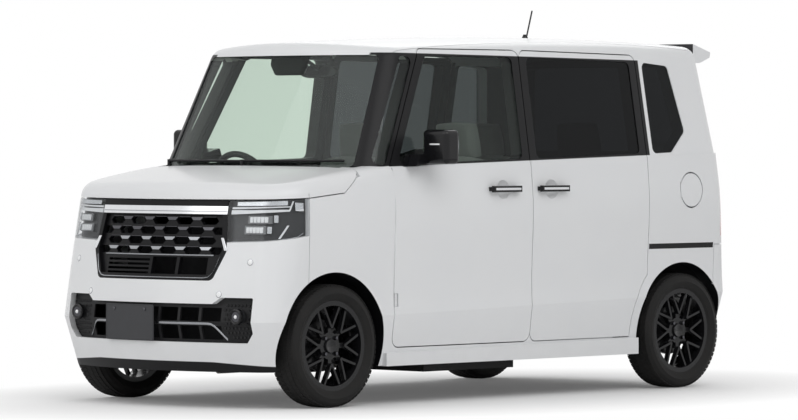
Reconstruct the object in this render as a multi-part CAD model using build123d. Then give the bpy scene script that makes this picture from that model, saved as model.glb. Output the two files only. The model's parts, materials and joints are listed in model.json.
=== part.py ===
"""Tall five-door kei car: hollow body split at its real shut lines, with hinged doors, bonnet, tailgate
and fuel flap, steered front knuckles and four turning wheels. Millimetres, +X forward, +Y left, +Z up.
The origin is on the ground, midway along and across the body."""

import os
from collections import namedtuple
from math import cos, radians, sin

from build123d import *

# Overall size
LENGTH = 3395.0
WIDTH = 1475.0
ROOF_HEIGHT = 1715.0
FRONT_OVERHANG = 513.0
WHEELBASE = 2460.0
TRACK = 1286.0
NOSE_X = LENGTH / 2
TAIL_X = -LENGTH / 2
FRONT_AXLE_X = NOSE_X - FRONT_OVERHANG
REAR_AXLE_X = FRONT_AXLE_X - WHEELBASE
WHEEL_Y = TRACK / 2
HALF_WIDTH = WIDTH / 2

# Wheels
TYRE_RADIUS = 281.0
TYRE_WIDTH = 165.0
RIM_RADIUS = 190.5
FLANGE_HEIGHT = 15.0
RIM_WIDTH = 124.0
RIM_WALL = 7.0
SPOKE_PAIRS = 8
ARM_WIDTH = 11.0
ARM_DEPTH = 24.0
FORK_RADIUS = 82.0
FORK_SPREAD = 15.5
HUB_RADIUS = 62.0
STUB_RADIUS = 20.0
STUB_CLEARANCE = 0.05
DISC_RADIUS = 118.0
DISC_THICKNESS = 18.0
TYRE_FOOT = (26.0, 12.0)
TYRE_BULGE = 4.0
TYRE_SHOULDER = (22.0, 6.0)
TYRE_EDGE = (5.0, 22.0)
SPOKE_LAP = 6.0
SPOKE_END = 2.0
ARCH_RADIUS = 328.0
ARCH_Z = 287.0

# Walls and joints
WALL = 70.0
SKIN = 34.0
ROOF_WALL = 40.0
GAP = 5.0
SEAT = 0.3
GROOVE_WIDTH = 4.0
GROOVE_DEPTH = 8.0
GLASS = 5.0
GLASS_INSET = 4.0
PIN_RADIUS = 4.5
PIN_CLEARANCE = 0.05
PIN_REACH = 24.0
EDGE_ROUND = 14.0
LEAF_RADIUS = 7.0
LEAF_REACH = 44.0
LEAF_HEIGHT = 56.0
LEAF_PLAY = 2.5
FAR = 2500.0

# Heights and stations of the shut lines
FLOOR_TOP = 262.0
REAR_FLOOR_TOP = 432.0
REAR_FLOOR_BOTTOM = 392.0
KICK_X = -985.0
KICK_WALL = 40.0
DOOR_BOTTOM = 262.0
DOOR_TOP = 1640.0
DOOR_TOP_FALL = 14.0
BELT_Z = 1110.0
BELT_RAKE = 0.026
WINDOW_TOP = 1606.0
PILLAR = 50.0
DOOR_FRONT_X = 800.0
DOOR_SPLIT_X = -148.0
DOOR_REAR_X = -1005.0
A_PILLAR_TOP_X = 512.0
COWL_X = 1040.0
FIREWALL_X = 990.0
BUMPER_SEAM_X = 1352.0
LAMP_LOW_Z = 752.0
LAMP_SIDE_Z = 784.0
LAMP_KNEE_X = 1590.0
BONNET_SHUT_Z = 975.0
TAILGATE_HALF_WIDTH = 610.0
TAILGATE_BOTTOM = 525.0
TAIL_LAMP_LOW = 742.0
TAIL_LAMP_HIGH = 1196.0
TAIL_LAMP_X = -1576.0
ROOF_SEAM_X = -1545.0
ROOF_SIDE_Y = 588.0
REAR_BUMPER_TOP = 700.0
WELL_INNER_Y = 392.0
WELL_WALL = 12.0
CROWN_X = -700.0
FRONT_WELL_LOW = 205.0
HANDLE_LENGTH = 200.0
HANDLE_DEPTH = 16.0
HANDLE_HEIGHT = 30.0
HANDLE_STANDOFF = 22.0
HANDLE_FOOT = 12.0
HANDLE_SKIN_Y = 729.0
HANDLE_Z = 985.0
FRONT_HANDLE_X = 59.0
SLIDING_HANDLE_X = -283.0
MIRROR_X = 590.0
MIRROR_Y = 742.0
MIRROR_Z = 1104.0
MIRROR_DEPTH = 96.0
MIRROR_WIDTH = 160.0
MIRROR_HEIGHT = 160.0
MIRROR_ROUND = 24.0
MIRROR_FOOT_Y = 640.0
MIRROR_FOOT = ((-40.0, 20.0), (120.0, -10.0), (90.0, 45.0), (-20.0, 70.0))
DASH_HALF_WIDTH = 630.0
DASH_BACK_Z = (1010.0, 760.0)
DASH_FACE = ((890.0, 730.0), (800.0, 800.0), (772.0, 900.0), (800.0, 985.0), (900.0, 1025.0))
DASH_ROUND = 24.0
STEER_CENTRE = (690.0, -340.0, 985.0)
STEER_TILT = 25.0
STEER_RADIUS = 180.0
STEER_GRIP = 15.0
STEER_HUB = 60.0
STEER_COLUMN = 260.0
STEER_COLUMN_RADIUS = 24.0
STEER_SPOKE = 22.5
SEAT_WIDTH = 500.0
SEAT_Y = 320.0
FRONT_SEAT_X = 90.0
REAR_SEAT_X = -790.0
# Outline of a seat from the side, as x ahead of the rear of its cushion and z
SEAT_PROFILE = (
    (60.0, 400.0),
    (520.0, 430.0),
    (540.0, 560.0),
    (100.0, 535.0),
    (-60.0, 1120.0),
    (-190.0, 1110.0),
    (-20.0, 470.0),
)
SEAT_ROUND = 30.0
SEAT_PLINTH_X = (60.0, 440.0)
SEAT_PLINTH_TOP = 450.0
REST_SIZE = (90.0, 260.0, 170.0)
REST_BACK = 165.0
REST_Z = 1215.0
REST_LEAN = 8.0
REST_ROUND = 30.0
POST_SPREAD = 60.0
POST_RADIUS = 6.0
POST_FOOT = (130.0, 1050.0)
POST_HEAD = (160.0, 1200.0)
ENGINE_X = (1110.0, 1440.0)
ENGINE_HALF_WIDTH = 330.0
ENGINE_TOP = 820.0
SUBFRAME_TOP = 300.0
SUBFRAME_DEPTH = 60.0
SUBFRAME_FRONT_X = 1480.0
SUBFRAME_HALF_WIDTH = 370.0
SUBFRAME_OPEN_X = (1130.0, 1400.0)
SUBFRAME_OPEN_HALF = 290.0
KING_Y = 575.0
KING_RADIUS = 10.0
KING_TOP = 300.0
ARM_Z = 160.0
LOWER_ARM_HALF = 24.0
LOWER_ARM_THICK = 24.0
LOWER_ARM_INNER_Y = 300.0
LOWER_ARM_END = 18.0
ARM_LUG_HALF = 40.0
ARM_LUG_DROP = 30.0
KNUCKLE_HALF = (32.0, 20.0)
KNUCKLE_TOP = 410.0
STRUT_FOOT = (35.0, 380.0)
STRUT_HEAD = (95.0, 590.0)
STRUT_RADIUS = 22.0
BEAM_RADIUS = 42.0
BEAM_SHORT = 60.0
TRAIL_ARM_Y = (310.0, 370.0)
TRAIL_ARM_Z = (255.0, 310.0)
PIPE_Y = -200.0
PIPE_Z = 140.0
PIPE_RADIUS = 20.0
PIPE_FRONT_X = 1020.0
PIPE_RISE = (40.0, 260.0)
SILENCER_X = (-1520.0, -1380.0)
SILENCER_Y = (-420.0, 120.0)
SILENCER_LOW = 235.0
TANK_X = (-250.0, 380.0)
TANK_Y = (60.0, 520.0)
TANK_Z = (130.0, 250.0)
HUB_FACE = 40.0
DISC_OFFSET = -30.0
ANTENNA_X = -920.0
ANTENNA_TIP = (-973.0, 1853.0)
ANTENNA_RADIUS = 4.0
ANTENNA_SINK = 30.0
ANTENNA_FOOT = (26.0, 8.0, 40.0)
COWL_END_X = 850.0
COWL_HALF_WIDTH = 640.0
COWL_LOW_Z = 1056.0
COWL_SINK = 16.0
BONNET_AXIS_X = 1034.0
BONNET_AXIS_Z = 1075.0
BONNET_HINGE_Y = 585.0
BONNET_TAB = 22.5
BONNET_COWL_GAP = 8.0
TAILGATE_AXIS_Z = 1676.0
TAILGATE_HINGE_Y = 380.0
FLAP_X = -1333.0
FLAP_Z = 969.0
FLAP_RADIUS = 84.0
FLAP_THICKNESS = 14.0
FLAP_AXIS_DEPTH = 4.0
FLAP_PIN_INSET = 3.0
FLAP_PIN_RADIUS = 2.5
FLAP_PIN_LENGTH = 116.0
FLAP_POCKET = 50.0
FLAP_NOTCH = 80.0
FILLER_RADIUS = 36.0
COWL_STRIP = 36.0
TAILGATE_TOP_WIDTH = 560.0
ROOF_SIDE_Z = 1585.0
FLOOR_HALF_WIDTH = 640.0
DOOR_CORNER = 45.0
DOOR_TO_ARCH = 56.0
DOOR_INNER_Y = 545.0
DOOR_AXIS_Y = 716.0
DOOR_HINGE_Z = (480.0, 860.0)
BONNET_NOSE_Z = 905.0
BONNET_SHUT_FALL = 22.0
BONNET_KNEE_X = 1126.0
BONNET_REAR_Z = 1046.0
FENDER_LAP = 1.0
SILL_RAIL_REAR_X = -780.0
SILL_RAIL_Y = 690.0
SILL_RAIL_LOW = 238.0
TAILGATE_INNER_X = -1480.0
REAR_BUMPER_X = -1520.0
WINDOW_CORNER = 28.0
SILL_LIFT = 12.0
QUARTER_FRAME = 26.0
QUARTER_WIDTH = 80.0
REAR_QUARTER_TOP = (-1258.0, 1576.0)
REAR_QUARTER_TIP = (-1324.0, 1255.0)
REAR_QUARTER_LOW_X = -1200.0
WINDSCREEN_EDGE = ((604.0, 1086.0), (546.0, 1610.0))
TAILGATE_GLASS_EDGE = ((545.0, 1160.0), (505.0, 1575.0))
NOSE_SPLIT_X = DOOR_FRONT_X
DOME_SPAN = 20.0
DOME_HALF_WIDTH = 960.0
DOME_DEPTH = 1500.0
ROOF_DITCH = 24.0

Section = namedtuple(
    "Section",
    "z rake nose nose_drop half_width front_taper rear_taper tail tail_drop front_radius rear_radius",
)

# Plan outlines of the lower body, from the bumper's underside up to the belt
LOWER = [
    Section(196, 0.018, NOSE_X - 48, 140, HALF_WIDTH - 34, 34, 40, TAIL_X + 40, 45, 150, 110),
    Section(430, 0.022, NOSE_X - 1, 130, HALF_WIDTH - 5, 24, 26, TAIL_X + 1, 40, 150, 110),
    Section(560, 0.024, NOSE_X - 22, 126, HALF_WIDTH - 9, 20, 22, TAIL_X + 10, 40, 160, 110),
    Section(740, 0.026, NOSE_X - 62, 112, HALF_WIDTH - 2.4, 22, 18, TAIL_X + 26, 40, 180, 110),
    Section(985, 0.026, NOSE_X - 105, 105, HALF_WIDTH - 4, 26, 16, TAIL_X + 46, 42, 190, 110),
    Section(BELT_Z, BELT_RAKE, NOSE_X - 130, 100, HALF_WIDTH - 16, 30, 14, TAIL_X + 56, 45, 190, 110),
]
# The outline that carries the flanks of the nose up through the bonnet
HOOD = Section(1240, BELT_RAKE, NOSE_X - 150, 96, HALF_WIDTH - 24, 30, 14, TAIL_X + 60, 45, 190, 110)
# Plan outlines of the glasshouse, from the belt up past the roof
GLASSHOUSE = [
    Section(BELT_Z, BELT_RAKE, 1085, 178, HALF_WIDTH - 22, 28.5, 14, TAIL_X + 62, 45, 130, 110),
    Section(1730, 0.0, 752, 112, HALF_WIDTH - 118, 38, 40, TAIL_X + 108, 45, 110, 110),
]
ROOF_RADIUS_LONG = 24000.0
ROOF_RADIUS_ACROSS = 5200.0
ROOF_EDGE_ROUND = 70.0
BONNET_CREST = (1075.0, 1104.0)
BONNET_FALL = 7.5
BONNET_RADIUS_ACROSS = 8000.0
BONNET_RADIUS_LONG = 5200.0
BONNET_EDGE_ROUND = 72.0
PLINTH = 110.0

# Front face
LENS = 4.0
GRILLE_RECESS = 14.0
FACE_RECESS = 26.0
GRILLE_TOP = 916.0
GRILLE_BAR_LOW = 880.0
GRILLE_BAR_HALF = 404.0
GRILLE_ROUND = 34.0
GRILLE_EDGE = ((400.0, GRILLE_TOP), (430.0, 713.0), (372.0, 580.0))
LOWER_EDGE = ((390.0, 476.0), (430.0, 505.0), (595.0, 505.0), (595.0, 345.0), (560.0, 300.0))
GRILLE_FRAME = 26.0
HEX_TOP_Z = 848.0
HEX_PITCH = (150.0, 45.0)
HEX_SIZE = (104.0, 34.0)
HEX_ROWS = (5, 6, 5, 6)
LOUVRE_LOW_Z = 604.0
LOUVRE_HIGH_Z = 684.0
LOUVRE_SPAN = (-322.0, -30.0)
LOUVRE_COUNT = 4
LOUVRE_OPEN = 11.0
SHUTTER_SPANS = ((-12.0, 140.0), (158.0, 322.0))
LOWER_SLOT_Z = ((314.0, 376.0), (396.0, 458.0))
LOWER_SLOT_SPAN = 420.0
LOWER_SLOT_COUNT = 7
LOWER_SLOT_WEB = 14.0
FOG_Y = 519.0
FOG_Z = 420.0
FOG_RADIUS = 32.0
FOG_LENGTH = 30.0
FOG_FACE_X = 1622.0
RADIATOR_X = (1450.0, 1478.0)
RADIATOR_HALF_WIDTH = 330.0
RADIATOR_TOP = 830.0

# Tail, sills and side trim
SPOILER_HALF_WIDTH = 545.0
SPOILER_TIP = (TAIL_X + 1.0, 1650.0)
SPOILER_LIP = 26.0
SPOILER_ROOT_Z = 1596.0
PLATE_RECESS = (360.0, 185.0, 800.0, 12.0)
SKIRT_FRONT_X = 848.0
SKIRT_REAR_X = -937.0
SKIRT_BOTTOM = 178.0
SKIRT_TOP = (238.0, 256.0)
SKIRT_INNER_Y = 655.0
SKIRT_OUTER_Y = 722.0
RAIL_Z = 697.0
RAIL_HEIGHT = 26.0
RAIL_FRONT_X = -1012.0
RAIL_SINK = 3.0
CUP_RADIUS = 58.0
CUP_DEPTH = 18.0
WIPER_SPANS = ((560.0, 330.0, 40.0), (20.0, -230.0, -560.0))
WIPER_SHARE = 0.055
WIPER_STAND = 9.0
WIPER_RADIUS = 6.0
WIPER_PIVOT_RADIUS = 9.0
WIPER_ARM_SINK = 2.0
WIPER_ARM_LIFT = 1.0


def side_prism(outline, y_low, y_high):
    """A face drawn in side view, x across and z up, run across the car from y_low to y_high."""
    plane = Plane(origin=(0, y_high, 0), x_dir=(1, 0, 0), z_dir=(0, -1, 0))
    return extrude(plane * outline, amount=y_high - y_low)


def front_prism(outline, x_low, x_high):
    """A face drawn in front view, y across and z up, run along the car from x_low to x_high."""
    plane = Plane(origin=(x_low, 0, 0), x_dir=(0, 1, 0), z_dir=(1, 0, 0))
    return extrude(plane * outline, amount=x_high - x_low)


def polygon(*points, round_by=0.0):
    """A closed face through the points, with every corner rounded by the same radius."""
    face = make_face(Polyline(*points, close=True))
    if round_by:
        face = fillet(face.vertices(), round_by)
    return face


def symmetric(*half, round_by=0.0):
    """A face in front view, given by the points of its left half from top to bottom."""
    return polygon(*half, *[(-y, z) for y, z in reversed(half)], round_by=round_by)


def block(x_low, x_high, y_low, y_high, z_low, z_high):
    """A box between two corners."""
    centre = ((x_low + x_high) / 2, (y_low + y_high) / 2, (z_low + z_high) / 2)
    return Pos(*centre) * Box(x_high - x_low, y_high - y_low, z_high - z_low)


def rod(start, end, radius):
    """A round bar between two points."""
    a, b = Vector(*start), Vector(*end)
    return extrude(Plane(origin=a, z_dir=b - a) * Circle(radius), amount=(b - a).length)


def cross_cylinder(x, z, radius, y_low, y_high):
    """A cylinder whose axis runs across the car."""
    return rod((x, y_low, z), (x, y_high, z), radius)


def upright(x, y, z_low, z_high, radius):
    """A vertical cylinder."""
    return rod((x, y, z_low), (x, y, z_high), radius)


def mirrored(part):
    """The same piece on the other side of the car."""
    return mirror(part, about=Plane.XZ)


def belt_at(x):
    """Height of the window sills, which rise towards the tail."""
    return BELT_Z - BELT_RAKE * x


# Body form
def plan_outline(row, inset=0.0):
    """One outline of the body seen from above, drawn in by inset: bowed ends and sides, rounded corners."""
    nose, tail = row.nose - inset, row.tail + inset
    wide = row.half_width - inset
    front_x, front_y = nose - row.nose_drop, wide - row.front_taper
    rear_x, rear_y = tail + row.tail_drop, wide - row.rear_taper
    face = make_face(
        [
            ThreePointArc((front_x, front_y), (nose, 0), (front_x, -front_y)),
            ThreePointArc((front_x, -front_y), (0, -wide), (rear_x, -rear_y)),
            ThreePointArc((rear_x, -rear_y), (tail, 0), (rear_x, rear_y)),
            ThreePointArc((rear_x, rear_y), (0, wide), (front_x, front_y)),
        ]
    )
    front_corners = face.vertices().filter_by(lambda v: v.X > 0)
    face = fillet(front_corners, max(row.front_radius - inset, SKIN))
    rear_corners = face.vertices().filter_by(lambda v: abs(v.X - rear_x) < 1)
    face = fillet(rear_corners, max(row.rear_radius - inset, SKIN))
    along = Vector(1, 0, -row.rake).normalized()
    return Plane(origin=(0, 0, row.z), x_dir=along, z_dir=(row.rake, 0, 1)) * face


def stacked(rows, inset=0.0, ruled=False):
    """The solid through a run of outlines."""
    return loft([plan_outline(row, inset) for row in rows], ruled=ruled)


def domed_block(crest, fall, radius_long, radius_across):
    """A large block with a domed upper face through the crest point, falling forward by an angle there."""
    half = DOME_HALF_WIDTH
    drop = radius_across - (radius_across**2 - half**2) ** 0.5
    face = make_face(
        [
            ThreePointArc((-half, -drop), (0, 0), (half, -drop)),
            Polyline((half, -drop), (half, -DOME_DEPTH), (-half, -DOME_DEPTH), (-half, -drop)),
        ]
    )
    face = Plane.YZ * face
    axis = Axis((0, 0, -radius_long), (0, 1, 0))
    dome = revolve(face, axis, DOME_SPAN) + revolve(face, axis, -DOME_SPAN)
    return Pos(crest[0], 0, crest[1]) * Rot(0, fall, 0) * dome


def lower_form(inset=0.0):
    """The body below the belt, before the bonnet is shaped."""
    sill = stacked(LOWER[0:2], inset, ruled=True)
    flank = stacked(LOWER[1:5], inset)
    shoulder = stacked(LOWER[4:6], inset, ruled=True)
    return sill + flank + shoulder


def nose_form(inset=0.0, drop=0.0):
    """The front of the lower body under its domed bonnet."""
    sill = stacked(LOWER[0:2], inset, ruled=True)
    flank = stacked(LOWER[1:4] + [HOOD], inset)
    ahead = block(NOSE_SPLIT_X, FAR, -FAR, FAR, 0, FAR)
    crest = (BONNET_CREST[0], BONNET_CREST[1] - drop)
    dome = domed_block(crest, BONNET_FALL, BONNET_RADIUS_LONG, BONNET_RADIUS_ACROSS)
    return (sill + flank) & ahead & dome


def glasshouse_form(inset=0.0, drop=0.0):
    """Pillars and roof above the belt, standing on a plinth that reaches down behind the bonnet."""
    plinth = extrude(plan_outline(GLASSHOUSE[0], inset), amount=-PLINTH)
    return (stacked(GLASSHOUSE, inset, ruled=True) & roof_block(drop)), plinth


def roof_block(drop=0.0):
    """Everything below the roof's upper surface, lowered by drop."""
    return domed_block((CROWN_X, ROOF_HEIGHT - drop), 0, ROOF_RADIUS_LONG, ROOF_RADIUS_ACROSS)


def top_rim(part, x_from):
    """The outer edges of the highest face, ahead of a station."""
    top = part.faces().sort_by(Axis.Z)[-1]
    return top.edges().filter_by(lambda e: e.center().X > x_from)


def grown(face, by):
    """The face let out by an amount, or drawn in when it is negative, keeping its sharp corners."""
    return offset(face, amount=by, kind=Kind.INTERSECTION)


def around(seam):
    """The two edges of a groove along a seam."""
    return seam - GROOVE_WIDTH / 2, seam + GROOVE_WIDTH / 2


behind_nose = block(-FAR, NOSE_SPLIT_X, -FAR, FAR, 0, FAR)
nose = nose_form()
nose = fillet(top_rim(nose, NOSE_SPLIT_X + 1), BONNET_EDGE_ROUND)
cab, plinth = glasshouse_form()
cab = fillet(top_rim(cab, -FAR), ROOF_EDGE_ROUND)
outer = (lower_form() & behind_nose) + nose + plinth + cab
inner_cab, inner_plinth = glasshouse_form(WALL, ROOF_WALL)
cabin_space = (lower_form(WALL) & behind_nose) + nose_form(WALL, WALL) + inner_plinth + inner_cab
cabin_space = cabin_space & (
    block(KICK_X, FIREWALL_X, -FAR, FAR, FLOOR_TOP, FAR) + block(-FAR, KICK_X, -FAR, FAR, REAR_FLOOR_TOP, FAR)
)
floor_width = (-FLOOR_HALF_WIDTH, FLOOR_HALF_WIDTH)
under_tail = block(TAILGATE_INNER_X - WALL, KICK_X - KICK_WALL, *floor_width, 0, REAR_FLOOR_BOTTOM)
engine_space = nose_form(SKIN, SKIN) & block(FIREWALL_X + SKIN, FAR, -FAR, FAR, 0, FAR)
arches = [
    cross_cylinder(x, ARCH_Z, ARCH_RADIUS, *sorted((side * WELL_INNER_Y, side * FAR)))
    for x in (FRONT_AXLE_X, REAR_AXLE_X)
    for side in (1, -1)
]
# Narrow grooves along the seams between fixed panels of the same colour
groove_bed = lower_form(GROOVE_DEPTH)
grooves = [
    block(*around(BUMPER_SEAM_X), -FAR, FAR, 0, BONNET_SHUT_Z) - nose_form(GROOVE_DEPTH),
    block(TAIL_X, REAR_BUMPER_X, -FAR, FAR, *around(REAR_BUMPER_TOP)) - groove_bed,
    block(*around(REAR_BUMPER_X), -FAR, FAR, 0, REAR_BUMPER_TOP) - groove_bed,
]
for side in (1, -1):
    ditch = block(ROOF_SEAM_X, FAR, *around(side * ROOF_SIDE_Y), ROOF_SIDE_Z, FAR)
    grooves.append(ditch - roof_block(ROOF_DITCH))
shell = outer - cabin_space - engine_space - under_tail - arches - grooves


# Shut lines, drawn in side view
front_door_face = polygon(
    (DOOR_FRONT_X, DOOR_BOTTOM),
    (DOOR_FRONT_X, belt_at(DOOR_FRONT_X)),
    (A_PILLAR_TOP_X, DOOR_TOP),
    (DOOR_SPLIT_X, DOOR_TOP),
    (DOOR_SPLIT_X, DOOR_BOTTOM),
    round_by=DOOR_CORNER,
)
sliding_door_face = polygon(
    (DOOR_SPLIT_X, DOOR_BOTTOM),
    (DOOR_SPLIT_X, DOOR_TOP),
    (DOOR_REAR_X, DOOR_TOP - DOOR_TOP_FALL),
    (DOOR_REAR_X, DOOR_BOTTOM),
    round_by=DOOR_CORNER,
) - Pos(REAR_AXLE_X, ARCH_Z) * Circle(ARCH_RADIUS + DOOR_TO_ARCH)
bonnet_line = polygon(
    (FAR, BONNET_NOSE_Z),
    (BUMPER_SEAM_X, BONNET_SHUT_Z - BONNET_SHUT_FALL),
    (BONNET_KNEE_X, BONNET_SHUT_Z),
    (COWL_X, BONNET_REAR_Z),
    (COWL_X - BONNET_TAB, BONNET_REAR_Z + GAP),
    (COWL_X - BONNET_TAB, FAR),
    (FAR, FAR),
)
tailgate_line = polygon(
    (-FAR, TAILGATE_BOTTOM),
    (TAILGATE_INNER_X, TAILGATE_BOTTOM),
    (TAILGATE_INNER_X, DOOR_TOP - ROOF_WALL),
    (ROOF_SEAM_X, DOOR_TOP),
    (ROOF_SEAM_X, FAR),
    (-FAR, FAR),
)
rear_bumper_line = polygon(
    (-FAR, 0), (REAR_BUMPER_X, 0), (REAR_BUMPER_X, REAR_BUMPER_TOP), (-FAR, REAR_BUMPER_TOP)
)

# Window outlines, drawn in side view
lean = (DOOR_FRONT_X - A_PILLAR_TOP_X) / (DOOR_TOP - belt_at(DOOR_FRONT_X))


def leaning_x(z, behind):
    """Station of the leaning front edge of the door at a height, some way behind it."""
    return DOOR_FRONT_X - lean * (z - belt_at(DOOR_FRONT_X)) - behind


def window(*points):
    """A window outline with the usual corner."""
    return polygon(*points, round_by=WINDOW_CORNER)


low_front = belt_at(DOOR_FRONT_X) + SILL_LIFT
front_window = window(
    (leaning_x(low_front, PILLAR), low_front),
    (DOOR_SPLIT_X + PILLAR, belt_at(DOOR_SPLIT_X) + SILL_LIFT),
    (DOOR_SPLIT_X + PILLAR, WINDOW_TOP),
    (leaning_x(WINDOW_TOP, PILLAR), WINDOW_TOP),
)
sliding_window = window(
    (DOOR_SPLIT_X - PILLAR, belt_at(DOOR_SPLIT_X) + SILL_LIFT),
    (DOOR_SPLIT_X - PILLAR, WINDOW_TOP),
    (DOOR_REAR_X + PILLAR, WINDOW_TOP - DOOR_TOP_FALL),
    (DOOR_REAR_X + PILLAR, belt_at(DOOR_REAR_X) + SILL_LIFT),
)
rear_quarter_window = window(
    (DOOR_REAR_X - PILLAR, belt_at(DOOR_REAR_X) + SILL_LIFT),
    (DOOR_REAR_X - PILLAR, WINDOW_TOP - DOOR_TOP_FALL),
    REAR_QUARTER_TOP,
    REAR_QUARTER_TIP,
    (REAR_QUARTER_LOW_X, belt_at(REAR_QUARTER_LOW_X) + SILL_LIFT),
)
front_quarter_window = window(
    (leaning_x(low_front, -QUARTER_FRAME) + QUARTER_WIDTH, low_front),
    (leaning_x(low_front, -QUARTER_FRAME), low_front),
    (leaning_x(WINDOW_TOP, -QUARTER_FRAME), WINDOW_TOP),
    (leaning_x(WINDOW_TOP, -QUARTER_FRAME) + QUARTER_WIDTH, WINDOW_TOP),
)
# Window outlines, drawn in front view
windscreen_outline = symmetric(*WINDSCREEN_EDGE, round_by=WINDOW_CORNER)
tailgate_window = symmetric(*TAILGATE_GLASS_EDGE, round_by=WINDOW_CORNER)


def pane_layer():
    """The thin layer just under the glasshouse surface that all panes are cut from."""
    return stacked(GLASSHOUSE, GLASS_INSET, ruled=True) - stacked(GLASSHOUSE, GLASS_INSET + GLASS, ruled=True)


panes = pane_layer()


def side_pane(outline):
    """A left-hand pane that fills a side window outline with a small clearance."""
    return panes & side_prism(grown(outline, -SEAT), 0, FAR)


# Hinges: a leaf on the fixed side carries a pin, and the moving panel has a pocket and a bore round it
def hinge(place, reach=EDGE_ROUND + GAP + SEAT):
    """Fixed leaf with its pin, and the room for both, for an axis along z with the panel towards -x."""
    half = LEAF_HEIGHT / 2
    leaf = Pos(0, -LEAF_REACH / 2, 0) * Box(2 * LEAF_RADIUS, LEAF_REACH, LEAF_HEIGHT)
    leaf += Pos(reach / 2, LEAF_RADIUS - LEAF_REACH, 0) * Box(reach, 2 * LEAF_RADIUS, LEAF_HEIGHT)
    leaf += Cylinder(LEAF_RADIUS, LEAF_HEIGHT)
    leaf += Cylinder(PIN_RADIUS, LEAF_HEIGHT + 2 * PIN_REACH)
    room = block(
        -LEAF_RADIUS - GAP,
        max(reach, EDGE_ROUND + SEAT),
        -LEAF_REACH - 2 * GAP,
        LEAF_RADIUS + LEAF_PLAY,
        -half - LEAF_PLAY,
        half + LEAF_PLAY,
    )
    room += Cylinder(PIN_RADIUS + PIN_CLEARANCE, LEAF_HEIGHT + 2 * PIN_REACH + 2 * LEAF_PLAY)
    return place * leaf, place * room


def rounded_edge(place, length):
    """What to cut from a panel so that its edge is round about the hinge axis."""
    square = Pos(FAR / 2, FAR / 2, 0) * Box(FAR, FAR, length)
    return place * (square - Cylinder(EDGE_ROUND, length))


# Panels are taken from the shell one after the other, so that neighbours meet face to face
class Remainder:
    """What is left of the shell."""

    def __init__(self, solid):
        self.solid = solid

    def take(self, zone):
        """Cut a fixed piece away."""
        piece = self.solid & zone
        self.solid = self.solid - zone
        return piece

    def take_panel(self, face, prism, *span):
        """Cut a moving panel away with a gap round its outline."""
        piece = self.solid & prism(grown(face, -GAP / 2), *span)
        self.solid = self.solid - prism(grown(face, GAP / 2), *span)
        return piece


rest = Remainder(shell)
left_span = (DOOR_INNER_Y, FAR)
right_span = (-FAR, -DOOR_INNER_Y)

# Side doors
door_axis_x = DOOR_FRONT_X - GAP / 2 - EDGE_ROUND
door_edge = rounded_edge(Pos(door_axis_x, DOOR_AXIS_Y, 0), 2 * belt_at(DOOR_FRONT_X))
door_hinges = [hinge(Pos(door_axis_x, DOOR_AXIS_Y, height)) for height in DOOR_HINGE_Z]
door_leaves = [leaf for leaf, room in door_hinges]
door_cuts = [side_prism(front_window, *left_span), door_edge] + [room for leaf, room in door_hinges]
left_front_door = rest.take_panel(front_door_face, side_prism, *left_span) - door_cuts
right_front_door = rest.take_panel(front_door_face, side_prism, *right_span)
right_front_door -= [mirrored(cut) for cut in door_cuts]
left_sliding_door = rest.take_panel(sliding_door_face, side_prism, *left_span)
left_sliding_door -= side_prism(sliding_window, *left_span)
right_sliding_door = rest.take_panel(sliding_door_face, side_prism, *right_span)
right_sliding_door -= side_prism(sliding_window, *right_span)

# Bonnet, hinged at its rear corners
cab_column = extrude(plan_outline(GLASSHOUSE[0]), amount=FAR / 5, both=True)
cowl_column = extrude(plan_outline(GLASSHOUSE[0], -COWL_STRIP), amount=FAR / 5, both=True)
ahead = block(DOOR_FRONT_X + GAP / 2 - FENDER_LAP, FAR, -FAR, FAR, 0, FAR)
cowl_room = block(COWL_END_X, FAR, -COWL_HALF_WIDTH, COWL_HALF_WIDTH, COWL_LOW_Z, FAR)
cowl = rest.take((cowl_column - cab_column) & cowl_room) & nose_form(0, COWL_SINK)
bonnet = rest.take_panel(bonnet_line, side_prism, -FAR, FAR)
bonnet -= extrude(plan_outline(GLASSHOUSE[0], -COWL_STRIP - BONNET_COWL_GAP), amount=FAR / 5, both=True)
bonnet_leaves = []
for side in (1, -1):
    pivot = (BONNET_AXIS_X, side * BONNET_HINGE_Y, BONNET_AXIS_Z)
    place = Plane(origin=pivot, x_dir=(-1, 0, 0), z_dir=(0, 1, 0))
    leaf, room = hinge(place, BONNET_AXIS_X - FIREWALL_X - SKIN + SEAT)
    bonnet_leaves.append(leaf)
    bonnet -= room
behind_axis = block(-FAR, BONNET_AXIS_X, -FAR, FAR, 0, FAR)
bonnet -= behind_axis - cross_cylinder(BONNET_AXIS_X, BONNET_AXIS_Z, EDGE_ROUND, -FAR, FAR)

# Tailgate with its spoiler, hinged along the roof's rear edge
tailgate_bay = front_prism(symmetric((TAILGATE_TOP_WIDTH, FAR), (TAILGATE_HALF_WIDTH, 0)), -FAR, 0)
tailgate_panel = symmetric((TAILGATE_TOP_WIDTH - GAP, FAR), (TAILGATE_HALF_WIDTH - GAP, 0))
tailgate_panel = front_prism(tailgate_panel, -FAR, 0)
tailgate = rest.solid & side_prism(grown(tailgate_line, -GAP / 2), -FAR, FAR) & tailgate_panel
rest.solid -= side_prism(grown(tailgate_line, GAP / 2), -FAR, FAR) & tailgate_bay
tailgate -= front_prism(tailgate_window, -FAR, 0)
plate_wide, plate_high, plate_z, plate_deep = PLATE_RECESS
plate_face = Pos(0, plate_z) * RectangleRounded(plate_wide, plate_high, plate_deep)
tailgate -= front_prism(plate_face, -FAR, 0) - lower_form(plate_deep)
tailgate_axis_x = ROOF_SEAM_X - GAP / 2 - EDGE_ROUND
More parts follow.
